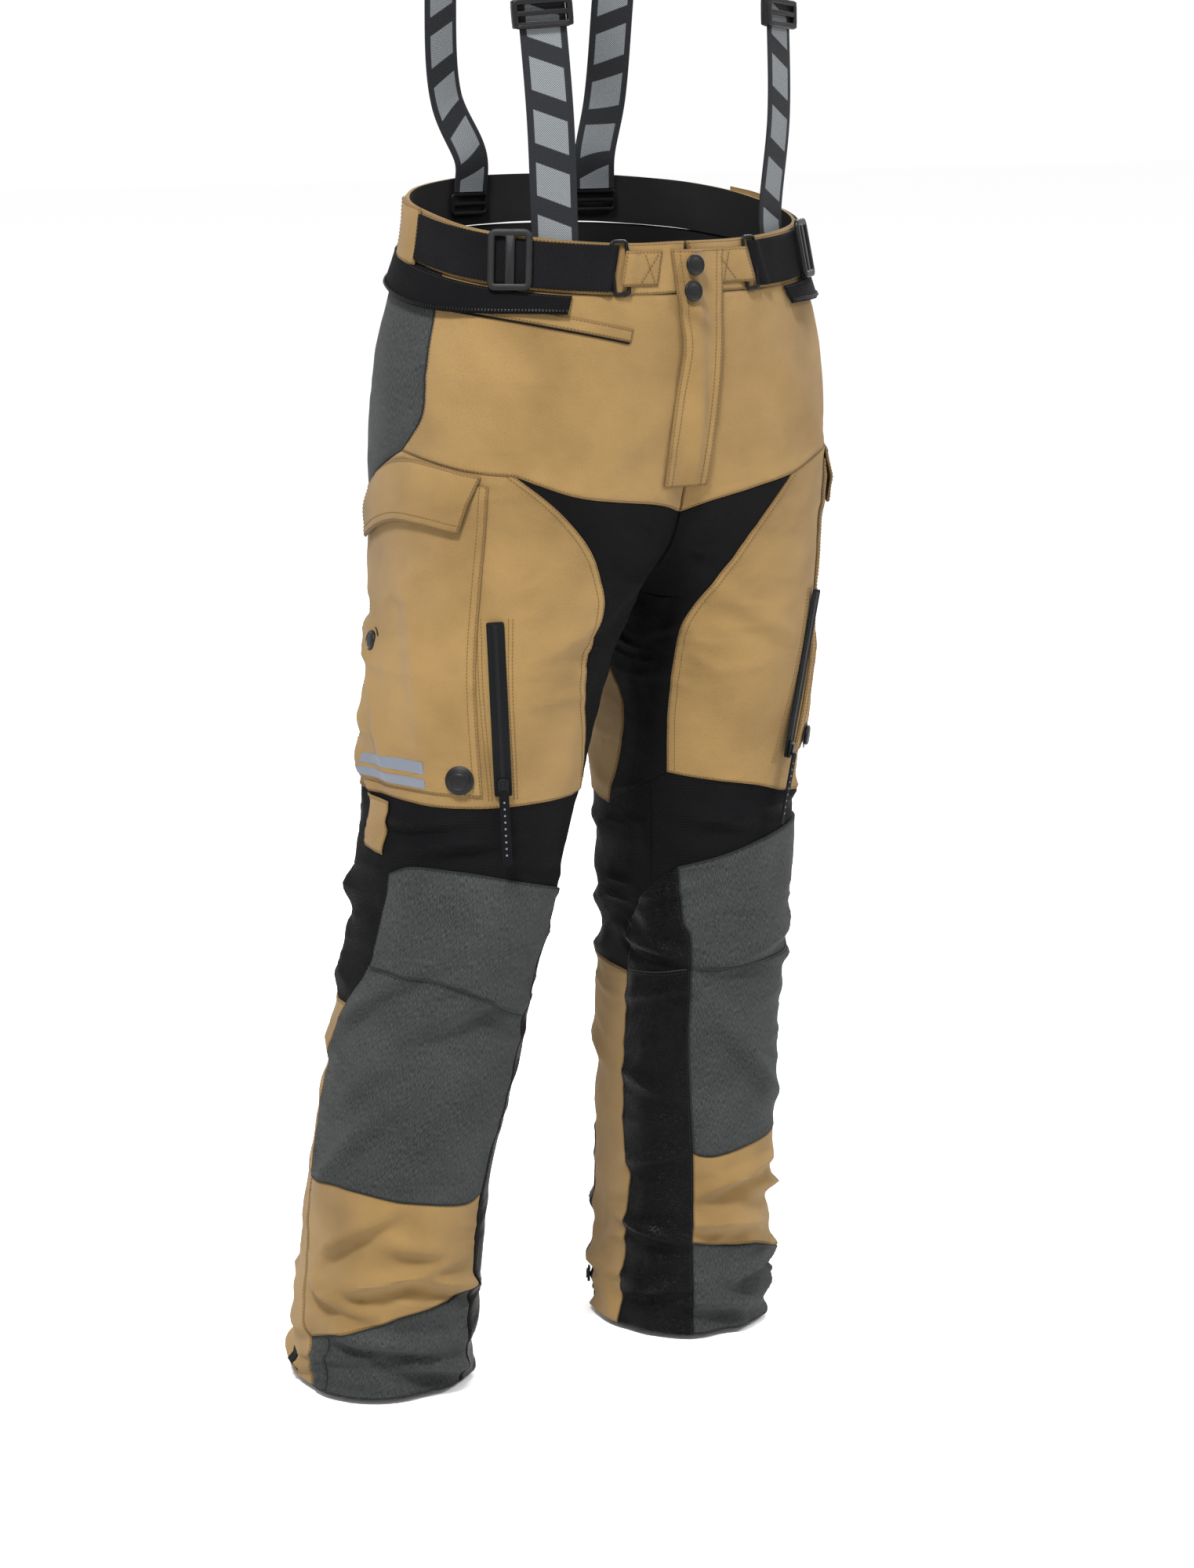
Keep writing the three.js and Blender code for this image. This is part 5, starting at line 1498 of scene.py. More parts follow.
class Waist:
    """The waistband with its belt adjusters, and the strip that a jacket zips to."""

    def __init__(self, shop: Workshop) -> None:
        """Takes the workshop.

        Args:
            shop: what the pieces are made with.
        """
        self.shop, self.body = shop, shop.body

    def around(self, turn: Array, level: Array, out: Array) -> Array:
        """Points round the waist: the turn is 0 at the front, 90 on the wearer's left and 180 at the back."""
        turn, level, out = np.broadcast_arrays(turn, level, out)
        share = np.where(turn <= 180, turn, 360 - turn)[..., None] / 180
        found = []
        for side in Side:
            ends = [float(find(side, np.zeros(1))[0]) for find in (self.body.front_angle, self.body.back_angle)]
            angle = ends[0] + (ends[1] - ends[0]) * share[..., 0]
            found.append(self.body.point(side, angle, self.body.band_level(side, angle, level), out))
        return np.where((turn <= 180)[..., None], *found)

    def on_band(self, side: Side, low: float, high: float, half: float, lift: Any) -> Callable[..., Array]:
        """A strip on the waistband between two angles, half as high as twice half, raised by lift."""

        def point(s: Array, t: Array, out: Array) -> Array:
            angle = low + (high - low) * s
            raised = lift(angle) if callable(lift) else lift
            return self.body.point(side, angle, self.body.band_level(side, angle, half - 2 * half * t), out + raised)

        return point

    def build(self) -> None:
        """Makes the waistband, the zip strip and both sides' adjusters."""
        finishes, half = self.shop.finishes, self.body.cut.band_height / 2
        swell = Noise(71)

        def band(s: Array, t: Array, out: Array) -> Array:
            points = self.around(360 * s, half - 2 * half * t, out + 0.6 + 0.7 * np.sin(np.pi * t))
            return points + np.stack([0 * s, 0 * s, 0.9 * swell.at(points / 60.0)], -1)

        cloth = Cloth.cut(band, thick=4.0)
        piece = Piece("waistband_cloth", [finishes.tan, finishes.lining], "shell_tan", "trousers", ["waistband"])
        self.shop.panel(piece, cloth, "tan", "t1 b1 l1")

        def strip(s: Array, t: Array, out: Array) -> Array:
            wave = 0.8 * np.sin(s * 46.0) * t
            ends = smooth(np.abs(s - 0.5), 0.3, 0.5)
            return self.around(41 + 278 * s, -half - 2 - (33 - 17 * ends) * t, out + 4.4 + 3 * t + wave)

        cloth = Cloth.cut(strip)
        piece = Piece("jacket_zip_strip_cloth", [finishes.stretch, finishes.lining], "stretch_black", "trousers",
                      ["jacket_zip_strip"])
        self.shop.panel(piece, cloth, "black", "t1", held="hung", rests_on=["waistband_cloth"])
        path, beside = cloth.seam("b", 3.0)
        tooth = slab(1.9, 2.6, 1.3, 0.5, 0.3)
        teeth = stitched(path, beside, 3.0, Shape(tooth.points[:, [0, 1, 2]], tooth.faces), 0.1)
        make(teeth, Piece("jacket_zip_teeth", [finishes.metal], "dark_metal", "trousers"))
        for side in Side:
            self.adjuster(side)
        self.welt()

    def welt(self) -> None:
        """Makes the slanted welt pocket under the belt on the wearer's right, with a black cord below it for the
        painted shade in the pocket's opening, and its rows.
        """
        finishes, side, drape = self.shop.finishes, Side.RIGHT, self.shop.drape
        run = line([[76, -54], [59, -61], [39.5, -71.5], [16, -84.5]])

        def point(s: Array, t: Array, out: Array) -> Array:
            place = run(s)
            return drape.cloth(side, place[..., 0], place[..., 1] + 6.0 - 12.0 * t, out + 1.3)

        piece = Piece("welt_pocket_right", [finishes.tan, finishes.tan], "shell_tan", "trousers")
        cloth = Cloth.cut(point, thick=1.6, depth=0.6)
        self.shop.panel(piece, cloth, "tan", "t1 b1 r1", rests_on=["front_yoke_right_cloth"])
        # Painted shade: a black cord along the welt's lower edge stands for the shadow in the pocket's opening.
        spots = run(np.linspace(0, 0.985, 50))
        path = drape.cloth(side, spots[:, 0], spots[:, 1] - 6.6, 0.8)
        make(tube(path, 1.0), Piece("welt_piping_right", [finishes.stretch], "stretch_black", "trousers"))

    def adjuster(self, side: Side) -> None:
        """Makes one side's strap, ring, buckle, tab and belt loop.

        Args:
            side: the half that they are on.
        """
        finishes, body, n = self.shop.finishes, self.body, side.label
        half = body.cut.webbing / 2
        bar, end = (26 + math.degrees(gap / body.cut.waist_depth) for gap in (7.3, 2.6))
        name = f"adjuster_strap_{n}"
        webbing = self.on_band(side, end, 98, half - 1, lambda a: 4.2 + 4.0 * bump(a, bar, 2.2) - 1.6 * smooth(bar - a, 0.8, 1.8))
        cloth = Cloth.cut(webbing, thick=2.2, depth=0.5)
        piece = Piece(f"{name}_webbing", [finishes.webbing, finishes.webbing], "webbing", "trousers", [name])
        self.shop.panel(piece, cloth, "black", "")
        ring = bar_loop(outline(14.5, body.cut.webbing + 4.5, 3.0), 3.5, 3.2, 0.49)
        place = body.frame(side, 26, float(body.band_level(side, np.array(26.0), 0)), 2.0)
        make(ring.on(place), Piece(f"adjuster_ring_{n}_bar", [finishes.metal], "dark_metal", "trousers",
                                   [f"adjuster_ring_{n}"]))
        buckle = merged([
            bar_loop(outline(33.5, body.cut.webbing + 6, 4.0), 6.4, 4.5, 0.35),
            slab(8.6, body.cut.webbing + 4, 3.9, 1.5, 1.0),
        ])
        place = body.frame(side, 60, float(body.band_level(side, np.array(60.0), 0)), 4.6)
        make(buckle.on(place), Piece(f"adjuster_buckle_{n}_frame", [finishes.plastic], "hard_plastic",
                                     f"belt_buckle_{n}", [f"adjuster_buckle_{n}"]))
        tab = self.on_band(side, 9, 24.6, 15.5, lambda a: 2.9 + 3.4 * smooth(a, 18.0, 21.5))
        cloth = Cloth.cut(tab, thick=1.5, depth=0.7)
        piece = Piece(f"ring_tab_{n}", [finishes.tan, finishes.tan], "shell_tan", "trousers")
        self.shop.panel(piece, cloth, "tan", "t1 b1 l1 r1", rests_on=["waistband_cloth"])
        self.cross(piece, body, side, (10.8, 16.6), 12.5, 3.3)
        loop = self.on_band(side, 91, 105, 25.5, lambda a: 2.6 + 3.9 * bump(a, 98.0, 6.6))
        piece = Piece(f"belt_loop_{n}", [finishes.tan, finishes.tan], "shell_tan", "trousers")
        cloth = Cloth.cut(loop, thick=1.6, depth=0.8)
        self.shop.panel(piece, cloth, "tan", "l1 r1 t1 b1", rests_on=["waistband_cloth"])

    def cross(self, piece: Piece, body: Body, side: Side, span: tuple[float, float], half: float, out: float) -> None:
        """Sews a cross in a box between two angles on the waistband."""
        steps = np.linspace(0, 1, 24)
        for way in (1, -1):
            angle = span[0] + (span[1] - span[0]) * steps
            lines = []
            for shift in (0.0, 1.5):
                level = way * (2 * steps - 1) * half + shift
                lines.append(body.point(side, angle, body.band_level(side, angle, level), out))
            path, beside = lines
            if (np.cross(path[1] - path[0], beside[0] - path[0]) * unit(path[0] * [1, 1, 0])).sum() < 0:
                beside = 2 * path - beside
            self.shop.sew(piece, "tan", path, beside)


# ---- Fly --------------------------------------------------------------------------------------------------


def slider_shape(thick: float = 4.0) -> Shape:
    """A zip slider: a wedge-nosed body with a bridge that holds its pull."""
    lower = slab(10, 16, thick * 0.62, 3, 0.7)
    nose = np.where(lower.points[:, 1] < 0, 1 + lower.points[:, 1] * 0.028, 1.0)
    lower = replace(lower, points=lower.points * np.column_stack([nose, np.ones_like(nose), np.ones_like(nose)]))
    bridge = slab(4.4, 10, thick * 0.36, 1.6, 0.6)
    return merged([lower, replace(bridge, points=bridge.points + [0, 0, thick * 0.6])])


def cap_shape() -> Shape:
    """A snap's cap: a round button with a rolled rim and a raised middle, centred on its own height."""
    profile = [(0.2, -1.8), (8.3, -1.8), (9.2, -1.4), (9.5, -0.7), (9.5, 0.4), (9.2, 1.0), (8.6, 1.35), (7.9, 1.3),
               (7.4, 0.85), (6.9, 0.8), (6.4, 1.15), (5.8, 1.45), (4.0, 1.65), (2.0, 1.75), (0.2, 1.78)]
    return lathe(profile, 40)


def teeth_along(path: Array, across: Array, out: Array, size: tuple[float, float, float] = (2.6, 0.9, 0.34)) -> Shape:
    """Two rows of fine zip teeth that mesh along a path.

    Args:
        path: points of the zip's middle line.
        across: direction across it.
        out: direction out of it.
        size: a tooth's width, length and height.

    Returns:
        the teeth as one shape.
    """
    share, places = paced(path, size[1] * 0.82)
    pick = np.clip(np.round(share).astype(int), 0, len(path) - 1)
    x, z = across[pick], out[pick]
    y = np.cross(z, x)
    way = np.where(np.arange(len(places)) % 2 == 0, 1.0, -1.0)[:, None]
    return scattered(slab(size[0], size[1] * 0.74, size[2], 0.25, 0.1), places + x * way * 0.95, x, y, z)


class Fly:
    """The zip at the front, the flap over it and its two snaps."""

    free = staticmethod(line([[-18, 0], [-15, -55], [-12, -80], [-20, -130], [-26, -180], [-29, -215]]))

    def __init__(self, shop: Workshop) -> None:
        """Takes the workshop.

        Args:
            shop: what the pieces are made with.
        """
        self.shop, self.body = shop, shop.body

    def build(self) -> None:
        """Makes the zip, its slider, the flap and the caps."""
        finishes, body = self.shop.finishes, self.body
        centre, radius = np.array([0.0, 315.25, -126.42]), 459.115
        turn = np.radians(np.linspace(8.065, -11.061, 70))

        def arc(x: Array, angle: Array, out: Array) -> Array:
            x, angle, out = np.broadcast_arrays(x, angle, out)
            reach = radius + out
            return np.stack([x, centre[1] - reach * np.cos(angle), centre[2] + reach * np.sin(angle)], -1)

        tape = Cloth.cut(lambda s, t, out: arc(16 * s - 8, turn[0] + (turn[-1] - turn[0]) * t, out + 1.6), thick=1.6,
                         depth=0.3)
        piece = Piece("fly_zip_tape", [finishes.tape, finishes.tape], "zip_tape", "trousers", ["fly_zip"])
        make(tape.shape(), piece)
        path, outward = arc(0.0, turn, 1.6), unit(arc(0.0, turn, 1.0) - arc(0.0, turn, 0.0))
        teeth = teeth_along(path, np.tile([1.0, 0.0, 0.0], (len(path), 1)), outward)
        make(teeth, Piece("fly_zip_teeth", [finishes.plastic], "zip_tape", "trousers"))
        start = turn[0] - 16 / radius
        origin, out = arc(0.0, start, 2.0), unit(arc(0.0, start, 1.0) - arc(0.0, start, 0.0))
        place = np.stack([[1.0, 0.0, 0.0], np.cross(out, [1.0, 0.0, 0.0]), out, origin])
        make(slider_shape(2.2).on(place), Piece("fly_zip_slider_body", [finishes.metal], "dark_metal", "fly_slider",
                                                ["fly_zip_slider"]))
        self.flap()
        for name, spot in (("upper", (0, -25)), ("lower", (-4, -48))):
            place = body.front_frame(*spot, 13.0)
            make(cap_shape().on(place), Piece(f"fly_snap_{name}_button", [finishes.plastic], "hard_plastic",
                                              "fly_cover", [f"fly_snap_cap_{name}"]))

    def flap(self) -> None:
        """Makes the flap over the zip, with a soft fold across its top and waves down its free edge."""
        finishes, wave = self.shop.finishes, Noise(83)

        def point(s: Array, t: Array, out: Array) -> Array:
            z = -10 + (UP(0.685) + 10) * t
            low = self.free(t)[..., 0]
            x = low + (40 - 22 * t - low) * s
            lift = 3.3 + 7.3 * bump(x, 2.0, 10.0) * smooth(1 - s, 0.05, 0.4)
            crease = 2.6 * bump((x + 6) * 0.5 + (z + 62) * 0.86, 0.0, 5.5) * smooth(1 - s, 0.1, 0.6)
            crease = crease - 0.8 * bump((x + 6) * 0.5 + (z + 76) * 0.86, 0.0, 7.0) * smooth(1 - s, 0.1, 0.6)
            ripple = 0.9 * (1 + wave.at(np.stack([x / 26.0, z / 34.0, 0 * z + 0.4], -1))) * smooth(t, 0.2, 0.4)
            return self.body.front(x, z, out + lift + np.maximum(crease, -0.6) + ripple)

        cloth = Cloth.cut(point, thick=2.2, spacing=3.6, felled="r")
        piece = Piece("fly_flap_cloth", [finishes.tan, finishes.tan], "shell_tan", "fly_cover", ["fly_flap"])
        self.shop.panel(piece, cloth, "tan", "l2 r2 b1 t1", rests_on=["waistband_cloth"])


# ---- Thigh ------------------------------------------------------------------------------------------------

POCKET = coons([[52, UP(0.66)], [90, UP(0.63)], [126, UP(0.76)]],
               [[28, LEG(0.226)], [80, LEG(0.222)], [126, LEG(0.22)]],
               [[52, UP(0.66)], [45, LEG(0.01)], [37, LEG(0.12)], [28, LEG(0.226)]],
               [[126, UP(0.76)], [128, LEG(0.1)], [126, LEG(0.22)]])
FLAP = coons([[55, UP(0.632)], [88, UP(0.6)], [118, UP(0.7)]], [[59, UP(0.79)], [88, UP(0.77)], [116, UP(0.84)]],
             [[55, UP(0.632)], [59, UP(0.79)]], [[118, UP(0.7)], [116, UP(0.84)]])


def pocket_out(s: Array, t: Array) -> Array:
    """How far the pocket's front stands off the thigh: low at its sewn edges, full in its middle."""
    edge = np.minimum(np.minimum(s, 1 - s) * 2.0, np.minimum(t, 1 - t) * 2.4)
    return 1.7 + 2.2 * smooth(edge, 0.0, 0.22) + 3.0 * np.sin(np.pi * s) * np.sin(np.pi * t)


class Thigh:
    """One thigh's cargo pocket, its flap, the vent zip and the snaps beside it."""

    def __init__(self, shop: Workshop, side: Side) -> None:
        """Takes the thigh's side.

        Args:
            shop: what the pieces are made with.
            side: the leg.
        """
        self.shop, self.side, self.body = shop, side, shop.body

    def build(self) -> None:
        """Makes the pocket, flap, snaps, stripes and zip."""
        finishes, n, side = self.shop.finishes, self.side.label, self.side
        drape = self.shop.drape

        def pocket(s: Array, t: Array, out: Array) -> Array:
            place = POCKET.at(s, t)
            return drape.cloth(side, place[..., 0], place[..., 1], out + pocket_out(s, t))

        piece = Piece(f"cargo_pocket_{n}_cloth", [finishes.tan, finishes.tan], "shell_tan", "trousers",
                      [f"cargo_pocket_{n}"])
        self.shop.panel(piece, Cloth.cut(pocket, thick=2.3, depth=0.7, felled="l"), "tan", "l2 b1 r1",
                        rests_on=[f"thigh_panel_{n}_cloth"])

        def flap(s: Array, t: Array, out: Array) -> Array:
            place = FLAP.at(s, t)
            lift = 3.0 + 6.6 * smooth(t, 0.0, 0.55) + 0.8 * np.sin(np.pi * s) * t
            return drape.cloth(side, place[..., 0], place[..., 1], out + lift)

        piece = Piece(f"pocket_flap_{n}_cloth", [finishes.tan, finishes.tan], "shell_tan", f"pocket_cover_{n}",
                      [f"pocket_flap_{n}"])
        self.shop.panel(piece, Cloth.cut(flap, thick=2.2, felled="b"), "tan", "t1 b2 l1 r1",
                        rests_on=[f"cargo_pocket_{n}_cloth"])
        for place, angle, z, share in (("front", 40.0, LEG(0.205), (0.2, 0.92)), ("rear", 110.0, LEG(0.055),
                                                                                  (0.8, 0.45))):
            swell = 4 + 3 * math.sin(math.pi * share[0]) * math.sin(math.pi * share[1])
            frame_at = self.body.frame(side, angle, z, swell + 2.2)
            patch = lathe([(0.2, -2.6), (12.6, -2.6), (13.2, -2.3), (12.9, -1.95), (0.2, -1.9)], 36)
            shape = merged([cap_shape(), patch]).on(frame_at)
            make(shape, Piece(f"vent_snap_{place}_{n}_button", [finishes.plastic], "hard_plastic", "trousers",
                              [f"vent_snap_{place}_{n}"]))
        for k, span in enumerate(((0.852, 0.9), (0.922, 0.972))):
            self.stripe(k + 1, pocket, span)
        self.zip()

    def stripe(self, number: int, pocket: Callable[..., Array], span: tuple[float, float]) -> None:
        """Makes one reflective stripe across the foot of the pocket.

        Args:
            number: its number, from the top.
            pocket: the pocket's surface from shares across and down it.
            span: the shares down the pocket between which it lies.
        """

        def point(s: Array, t: Array, out: Array) -> Array:
            return pocket(0.3 + 0.5 * s, span[0] + (span[1] - span[0]) * t, out + 0.45)

        name = f"reflective_stripe_{number}_{self.side.label}"
        piece = Piece(name, [self.shop.finishes.reflective] * 2, "shell_tan", "trousers")
        make(Cloth.cut(point, thick=0.8, depth=0.2).shape(), piece)

    def zip(self) -> None:
        """Makes the straight vent zip, which stands off the thigh by its middle's bulge, with slider and pull."""
        finishes, body, side, n = self.shop.finishes, self.body, self.side, self.side.label
        top, bottom = (body.point(side, *end) for end in (VENT_TOP, VENT_BOTTOM))
        along = unit(top - bottom)
        out = body.frame(side, 28, LEG(0.11), 0)[2]
        across = unit(np.cross(along, out))
        facing = np.cross(across, along)
        t = np.array([0.1, 0.3, 0.5, 0.7, 0.9])
        steps = [low + (high - low) * t for low, high in zip(VENT_BOTTOM, VENT_TOP)]
        bulge = ((body.point(side, *steps) - bottom) @ facing).max()

        def at(place: Array, lift: float) -> Array:
            return np.stack([across, along, facing, place + facing * (bulge + 0.4 + lift)])

        length = float(np.linalg.norm(top - bottom))
        middle = (top + bottom) / 2
        tape = slab(16, length, 1.6, 2, 0.3)
        make(tape.on(at(middle, 0)), Piece(f"vent_zip_{n}_tape", [finishes.tape], "zip_tape", "trousers",
                                           [f"vent_zip_{n}"]))
        run = bottom + (top - bottom) * np.linspace(0.015, 0.985, 60)[:, None] + facing * (bulge + 2.0)
        teeth = teeth_along(run, np.tile(across, (60, 1)), np.tile(facing, (60, 1)))
        make(teeth, Piece(f"vent_zip_{n}_teeth", [finishes.plastic], "zip_tape", "trousers"))
        ends = bottom + along * 8
        make(slider_shape().on(at(ends, 2.0)), Piece(f"vent_zip_slider_{n}_body", [finishes.metal], "dark_metal",
                                                     f"vent_slider_{n}", [f"vent_zip_slider_{n}"]))
        pull = slab(9, 68, 1.5, 2.4, 0.5)
        dots = [replace(lathe([(0.1, 1.4), (1.0, 1.4), (0.9, 1.58), (0.1, 1.62)], 12)) for _ in range(9)]
        for k, dot in enumerate(dots):
            dot.points[:, 1] += 24 - 6 * k
        shape = merged([pull.with_skin(0), *(dot.with_skin(1) for dot in dots)])
        made = shape.on(at(bottom + along * (16 / 3 - 34), 6.4))
        make(made, Piece(f"vent_zip_pull_{n}_tape", [finishes.webbing, finishes.reflective], "webbing",
                         f"vent_pull_{n}", [f"vent_zip_pull_{n}"]))
        piece = Piece("", [], "", "trousers")
        for way in (-1, 1):
            for gap in (10.6, 13.8):
                t = np.linspace(-0.03, 1.02, 60)
                angle, z = (low + (high - low) * t for low, high in zip(VENT_BOTTOM, VENT_TOP))
                base = self.shop.drape.cloth(side, angle, z)
                lines = []
                for shift in (gap, gap + 1.5):
                    turn = np.degrees(way * shift / 105.0)
                    lines.append(self.shop.drape.cloth(side, angle + turn, z))
                path, beside = lines
                normal = np.cross(path[31] - path[29], beside[30] - path[30])
                if (normal * facing).sum() < 0:
                    beside = 2 * path - beside
                self.shop.sew(piece, "tan", path, beside)
                del base


# ---- Calf -------------------------------------------------------------------------------------------------


class Calf:
    """The zip at the back of one calf, and the dotted print beside it."""

    def __init__(self, shop: Workshop, side: Side) -> None:
        """Takes the calf's side.

        Args:
            shop: what the pieces are made with.
            side: the leg.
        """
        self.shop, self.side = shop, side

    def build(self) -> None:
        """Makes the tape, teeth, slider and dots."""
        finishes, side, n = self.shop.finishes, self.side, self.side.label
        drape, lower = self.shop.drape, f"lower_leg_{self.side.label}"

        def tape(s: Array, t: Array, out: Array) -> Array:
            angle = 228 + np.degrees((s - 0.5) * 16 / 88)
            relief = drape.relief(side, np.full_like(t, 228.0), LEG(0.745) + (LEG(0.992) - LEG(0.745)) * t)
            z = LEG(0.745) + (LEG(0.992) - LEG(0.745)) * t
            return self.shop.body.point(side, angle, z, out + np.maximum(relief, drape.relief(side, angle, z)) + 0.5)

        cloth = Cloth.cut(tape, thick=1.0, depth=0.3)
        piece = Piece(f"calf_zip_tape_{n}", [finishes.tape, finishes.tape], "zip_tape", lower)
        make(cloth.shape(), piece)
        steps = np.linspace(0.0, 1.0, 80)
        path, side_points = tape(0.5 + 0 * steps, steps, 0 * steps), tape(0.6 + 0 * steps, steps, 0 * steps)
        across = unit(side_points - path)
        out = unit(np.cross(across, np.gradient(path, axis=0)))
        away = path - path.mean(0)
        out = out * np.sign((out * (path - self.shop.body.point(side, 48.0, -900.0))).sum())
        del away
        make(teeth_along(path, across, out), Piece(f"calf_zip_teeth_{n}", [finishes.plastic], "zip_tape", lower))
        place = self.shop.body.frame(side, 228, LEG(0.96), 0.4)
        place[3] += place[2] * 1.6
        make(slider_shape().on(place), Piece(f"calf_zip_slider_{n}_body", [finishes.metal], "dark_metal",
                                             f"calf_slider_{n}", [f"calf_zip_slider_{n}"]))
        self.dots()

    def dots(self) -> None:
        """Makes the print: rows of dots that shrink upwards and close to a point below."""
        side, drape = self.side, self.shop.drape
        rows, columns = np.meshgrid(np.arange(26), np.arange(6), indexing="ij")
        z = -742.0 - rows * 6.2
        angle = 111.5 + columns * 2.6 + (rows % 2) * 1.3
        keep = (columns <= 5 - np.maximum(rows - 18, 0) * 0.8) & (z > -902)
        angle, z, size = angle[keep], z[keep], (0.5 + 0.035 * rows)[keep]
        middle = drape.cloth(side, angle, z, 0.02)
        x = unit(drape.cloth(side, angle + 1, z) - drape.cloth(side, angle - 1, z)) * side.value
        up = unit(drape.cloth(side, angle, z + 2) - drape.cloth(side, angle, z - 2))
        out = unit(np.cross(x, up))
        dot = lathe([(0.1, -0.2), (1.0, -0.2), (0.9, 0.12), (0.1, 0.16)], 10)
        shape = scattered(dot, middle, x * size[:, None], np.cross(out, x) * size[:, None], out)
        name = f"calf_print_{side.label}"
        make(shape, Piece(name, [self.shop.finishes.plastic], "stretch_black", f"lower_leg_{side.label}"))


# ---- Braces -----------------------------------------------------------------------------------------------


def centripetal(points: Array, share: Array) -> Array:
    """A centripetal Catmull-Rom curve, each knot's speed set by the root of the distance to the next."""
    last = len(points) - 1
    place = np.clip(share, 0, 1) * last
    k = np.minimum(np.floor(place).astype(int), last - 1)
    t = (place - k)[:, None]
    wide = np.concatenate([[2 * points[0] - points[1]], points, [2 * points[-1] - points[-2]]])
    p = [wide[k + i] for i in range(4)]
    d = [np.linalg.norm(p[i + 1] - p[i], axis=1, keepdims=True) ** 0.5 for i in range(3)]
    leave = ((p[1] - p[0]) / d[0] - (p[2] - p[0]) / (d[0] + d[1]) + (p[2] - p[1]) / d[1]) * d[1]
    reach = ((p[2] - p[1]) / d[1] - (p[3] - p[1]) / (d[1] + d[2]) + (p[3] - p[2]) / d[2]) * d[1]
    return (2 * p[1] - 2 * p[2] + leave + reach) * t**3 + (
        -3 * p[1] + 3 * p[2] - 2 * leave - reach) * t**2 + leave * t + p[1]


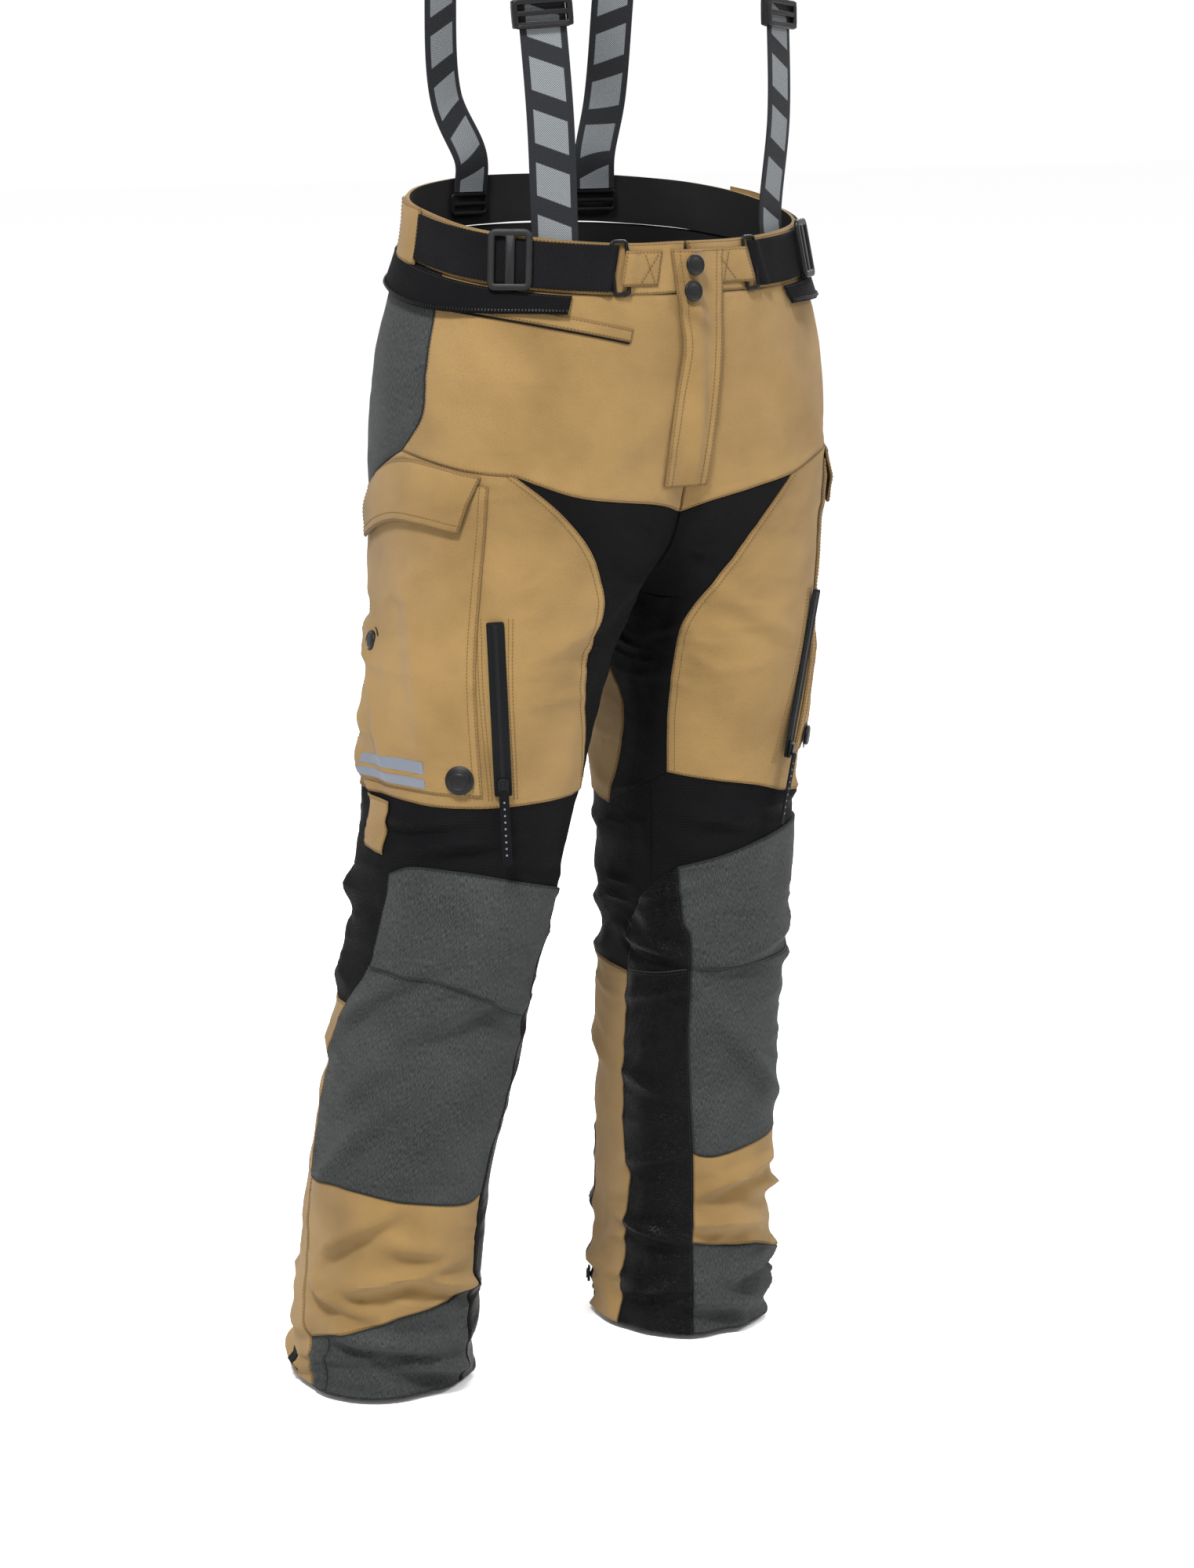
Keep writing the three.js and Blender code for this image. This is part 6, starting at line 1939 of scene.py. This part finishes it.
class Braces:
    """The straps over the shoulders, with their clips, adjusters and the bridge between them."""

    def __init__(self, shop: Workshop) -> None:
        """Takes the workshop.

        Args:
            shop: what the pieces are made with.
        """
        self.shop, self.body = shop, shop.body

    def build(self) -> None:
        """Makes both straps and the bridge."""
        finishes = self.shop.finishes
        for side in Side:
            self.strap(side)
        half = 100.2 - self.body.cut.webbing / 2
        s, t = np.meshgrid(np.linspace(-half, half, 60), np.linspace(21, -21, 12))
        outer = np.stack([-s, np.full_like(s, 122.1) - 0.8 * smooth(np.abs(t), 19.8, 21.0), t + 300], -1)
        inner = outer - [0.0, 2.2, 0.0] + np.stack([0 * s, 1.6 * smooth(np.abs(t), 19.8, 21.0), 0 * s], -1)
        shape = closed_wall(outer, inner, np.stack([t, s], -1) * MM, np.full(s.shape, 9.0)).with_skin(0)
        make(shape, Piece("suspender_bridge_webbing", [finishes.webbing], "webbing", "trousers",
                          ["suspender_bridge"]))

    def strap(self, side: Side) -> None:
        """Makes one strap with its two clips and its adjuster.

        Args:
            side: the shoulder that it goes over.
        """
        finishes, n = self.shop.finishes, side.label

        def mirrored(*xyz: float) -> Array:
            return np.array([side.value * xyz[0], *xyz[1:]], float)

        ends = {}
        for name, angle, level in (("front", 46.0, -8.0), ("back", 150.0, -2.0)):
            place = self.body.frame(side, angle, float(self.body.band_level(side, np.array(angle), level)), -7.9)
            clip = merged([bar_loop(outline(43.6, 17.6, 3), 4.2, 2.5, 0.4), slab(41, 3.4, 2.2, 1, 0.5)])
            make(clip.on(place), Piece(f"{name}_clip_{n}_plate", [finishes.metal], "dark_metal", "trousers",
                                       [f"{name}_clip_{n}"]))
            tip = place[3] + place[1] * 11.4
            ends[name] = (tip, tip + place[1] * 30, place[2])
        low, high = mirrored(126, -101, 105), mirrored(134, -85, 300)
        knots = [ends["front"][0], ends["front"][1], low, (low + high) / 2, high, mirrored(130, -58, 418),
                 mirrored(121, -6, 480), mirrored(111, 58, 450), mirrored(103, 106, 360), mirrored(98, 120, 230),
                 mirrored(90, 124, 120), ends["back"][1], ends["back"][0]]
        chest, rear = mirrored(0.418, -0.909, 0), mirrored(0.25, 0.968, 0)
        faces = [ends["front"][2]] * 2 + [chest] * 3 + [mirrored(0.35, -0.75, 0.5), mirrored(0.2, 0, 0.98),
                                                      mirrored(0.2, 0.6, 0.75)] + [rear] * 3 + [ends["back"][2]] * 2
        share = np.linspace(0, 1, 260)
        path = centripetal(np.array(knots), share)
        spot = share * (len(faces) - 1)
        normal = np.stack([np.interp(spot, np.arange(len(faces)), np.array(faces)[:, k]) for k in range(3)], -1)
        ahead = unit(np.gradient(path, axis=0))
        normal = unit(normal - ahead * (normal * ahead).sum(-1, keepdims=True))
        across = np.cross(ahead, normal)
        half, thick = self.body.cut.webbing / 2, 1.1
        x = half * np.array([-1, -0.985, -0.95, -0.6, -0.3, 0, 0.3, 0.6, 0.95, 0.985, 1])
        round_off = thick * np.sqrt(np.clip(1 - (np.maximum(np.abs(x) - half + 1.0, 0) / 1.05) ** 2, 0, 1))
        flat = path[:, None] + across[:, None] * x[None, :, None]
        lift = normal[:, None] * round_off[None, :, None]
        run = run_lengths(path, 0)
        uv = np.stack(np.broadcast_arrays(x[None, :], run[:, None]), -1) * MM
        shape = closed_wall(flat + lift, flat - lift, uv, np.full(uv.shape[:2], 9.0)).with_skin(0)
        name = f"suspender_strap_{n}"
        made = make(shape, Piece(f"{name}_webbing", [finishes.brace], "webbing", "trousers", [name]))
        along = unit(high - low)
        out = unit(chest - along * (chest @ along))
        beside = -np.cross(along, out)
        seat = low + (high - low) * 0.47 + out * 1.1
        self.adjuster(side, np.stack([beside, along, out, seat]))

    def adjuster(self, side: Side, place: Array) -> None:
        """Makes the frame that shortens one strap.

        Args:
            side: the strap's side.
            place: a frame with X across the strap, Y up it and Z out of it, on the strap's middle.
        """
        parts = []
        for z, thick in ((1.55, 3.5), (-5.0, 3.2)):
            ring = bar_loop(outline(48.6, 20.6, 3.2), 5.2, thick, 0.42)
            bar = slab(47, 4.4, thick * 0.9, 1.2, 0.8)
            parts += [replace(s, points=s.points + [0, 0, z]) for s in (ring, bar)]
        for way in (-1, 1):
            wall_piece = slab(4.2, 24.5, 9.8, 1.6, 1.2)
            parts.append(replace(wall_piece, points=wall_piece.points + [way * 24.6, 0, -4.9]))
        lip = tube(np.stack([np.linspace(-24, 24, 24), np.full(24, -11.2), np.full(24, 3.2)], -1), 2.2, 12)
        parts.append(lip)
        n = side.label
        make(merged(parts).on(place), Piece(f"suspender_adjuster_{n}_frame", [self.shop.finishes.plastic],
                                            "hard_plastic", f"brace_adjuster_{n}", [f"suspender_adjuster_{n}"]))


# ---- Studio -----------------------------------------------------------------------------------------------


class Studio:
    """A pale floor, a soft sky and lights, and the camera."""

    floor_level = -1.068

    def build(self) -> None:
        """Sets up the studio."""
        scene = bpy.context.scene
        scene.view_settings.view_transform = "Standard"
        world = bpy.data.worlds.new("studio_sky")
        world.use_nodes = True
        world.node_tree.nodes["Background"].inputs[0].default_value = (1.0, 1.0, 1.0, 1.0)
        world.node_tree.nodes["Background"].inputs[1].default_value = 1.03
        scene.world = world
        mesh = bpy.data.meshes.new("studio_floor")
        edge = 25.0
        corners = [(-edge, -edge, 0), (edge, -edge, 0), (edge, edge, 0), (-edge, edge, 0)]
        mesh.from_pydata(corners, [], [(0, 1, 2, 3)])
        paint = Paint("studio_floor")
        mesh.materials.append(paint.finished(Base_Color=(0.95, 0.95, 0.95, 1.0), Roughness=1.0))
        floor = bpy.data.objects.new("studio_floor", mesh)
        floor.location = (0, 0, self.floor_level)
        scene.collection.objects.link(floor)
        floor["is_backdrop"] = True
        self.light("key", (-2.5, -1.9, 3.9), 0.9, 610.0)
        self.light("fill", (2.4, -2.8, 2.6), 1.0, 120.0)
        self.light("rim", (2.4, 1.6, 2.2), 1.6, 130.0)
        self.camera()

    def light(self, name: str, place: tuple[float, float, float], size: float, power: float) -> None:
        """Adds a square light that faces the garment.

        Args:
            name: its name.
            place: where it stands, in metres.
            size: its width and height.
            power: its power in watts.
        """
        lamp = bpy.data.lights.new(name, "AREA")
        lamp.size, lamp.energy = size, power
        made = bpy.data.objects.new(name, lamp)
        made.location = place
        way = np.array([-place[0], -place[1], -0.45 - place[2]])
        flat = math.hypot(way[0], way[1])
        made.rotation_euler = (math.atan2(flat, -way[2]), 0.0, math.atan2(way[0], -way[1]) + math.pi)
        made.rotation_euler[2] = math.atan2(-way[0], way[1])
        bpy.context.scene.collection.objects.link(made)
        made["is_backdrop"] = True

    def camera(self) -> None:
        """Stands the camera a little to the wearer's right of the front, looking slightly down."""
        lens = bpy.data.cameras.new("camera")
        lens.lens, lens.sensor_width = 86.4, 36.0
        made = bpy.data.objects.new("camera", lens)
        made.location = (-2.0075, -2.867, 0.18)
        heading = math.atan2(-2.0075, 2.867) + 6.5 / 4800
        made.rotation_euler = (math.pi / 2 - math.radians(11.3), 0.0, heading)
        bpy.context.scene.collection.objects.link(made)
        bpy.context.scene.camera = made


def write_size(stage_name: str, sizes: dict[str, Any]) -> None:
    """Notes the bounds of what is shown, under a stage's name."""
    low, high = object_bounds()
    sizes[stage_name] = [[float(c) for c in low], [float(c) for c in high]]


def main() -> None:
    """Builds the garment on its frame, then the studio."""
    logging.basicConfig(level=logging.INFO, format="%(name)s %(message)s")
    sizes: dict[str, Any] = {}
    write_size("frame", sizes)
    body = Body(CUT)
    shop = Workshop(body, Drape(body), Finishes.mixed())
    Waist(shop).build()
    for side in Side:
        UpperShell(shop, side).build()
        LowerLeg(shop, side).build()
        Thigh(shop, side).build()
        Calf(shop, side).build()
    Fly(shop).build()
    Braces(shop).build()
    shop.draw_threads()
    Studio().build()
    write_size("dressed", sizes)


if __name__ == "__main__":
    main()
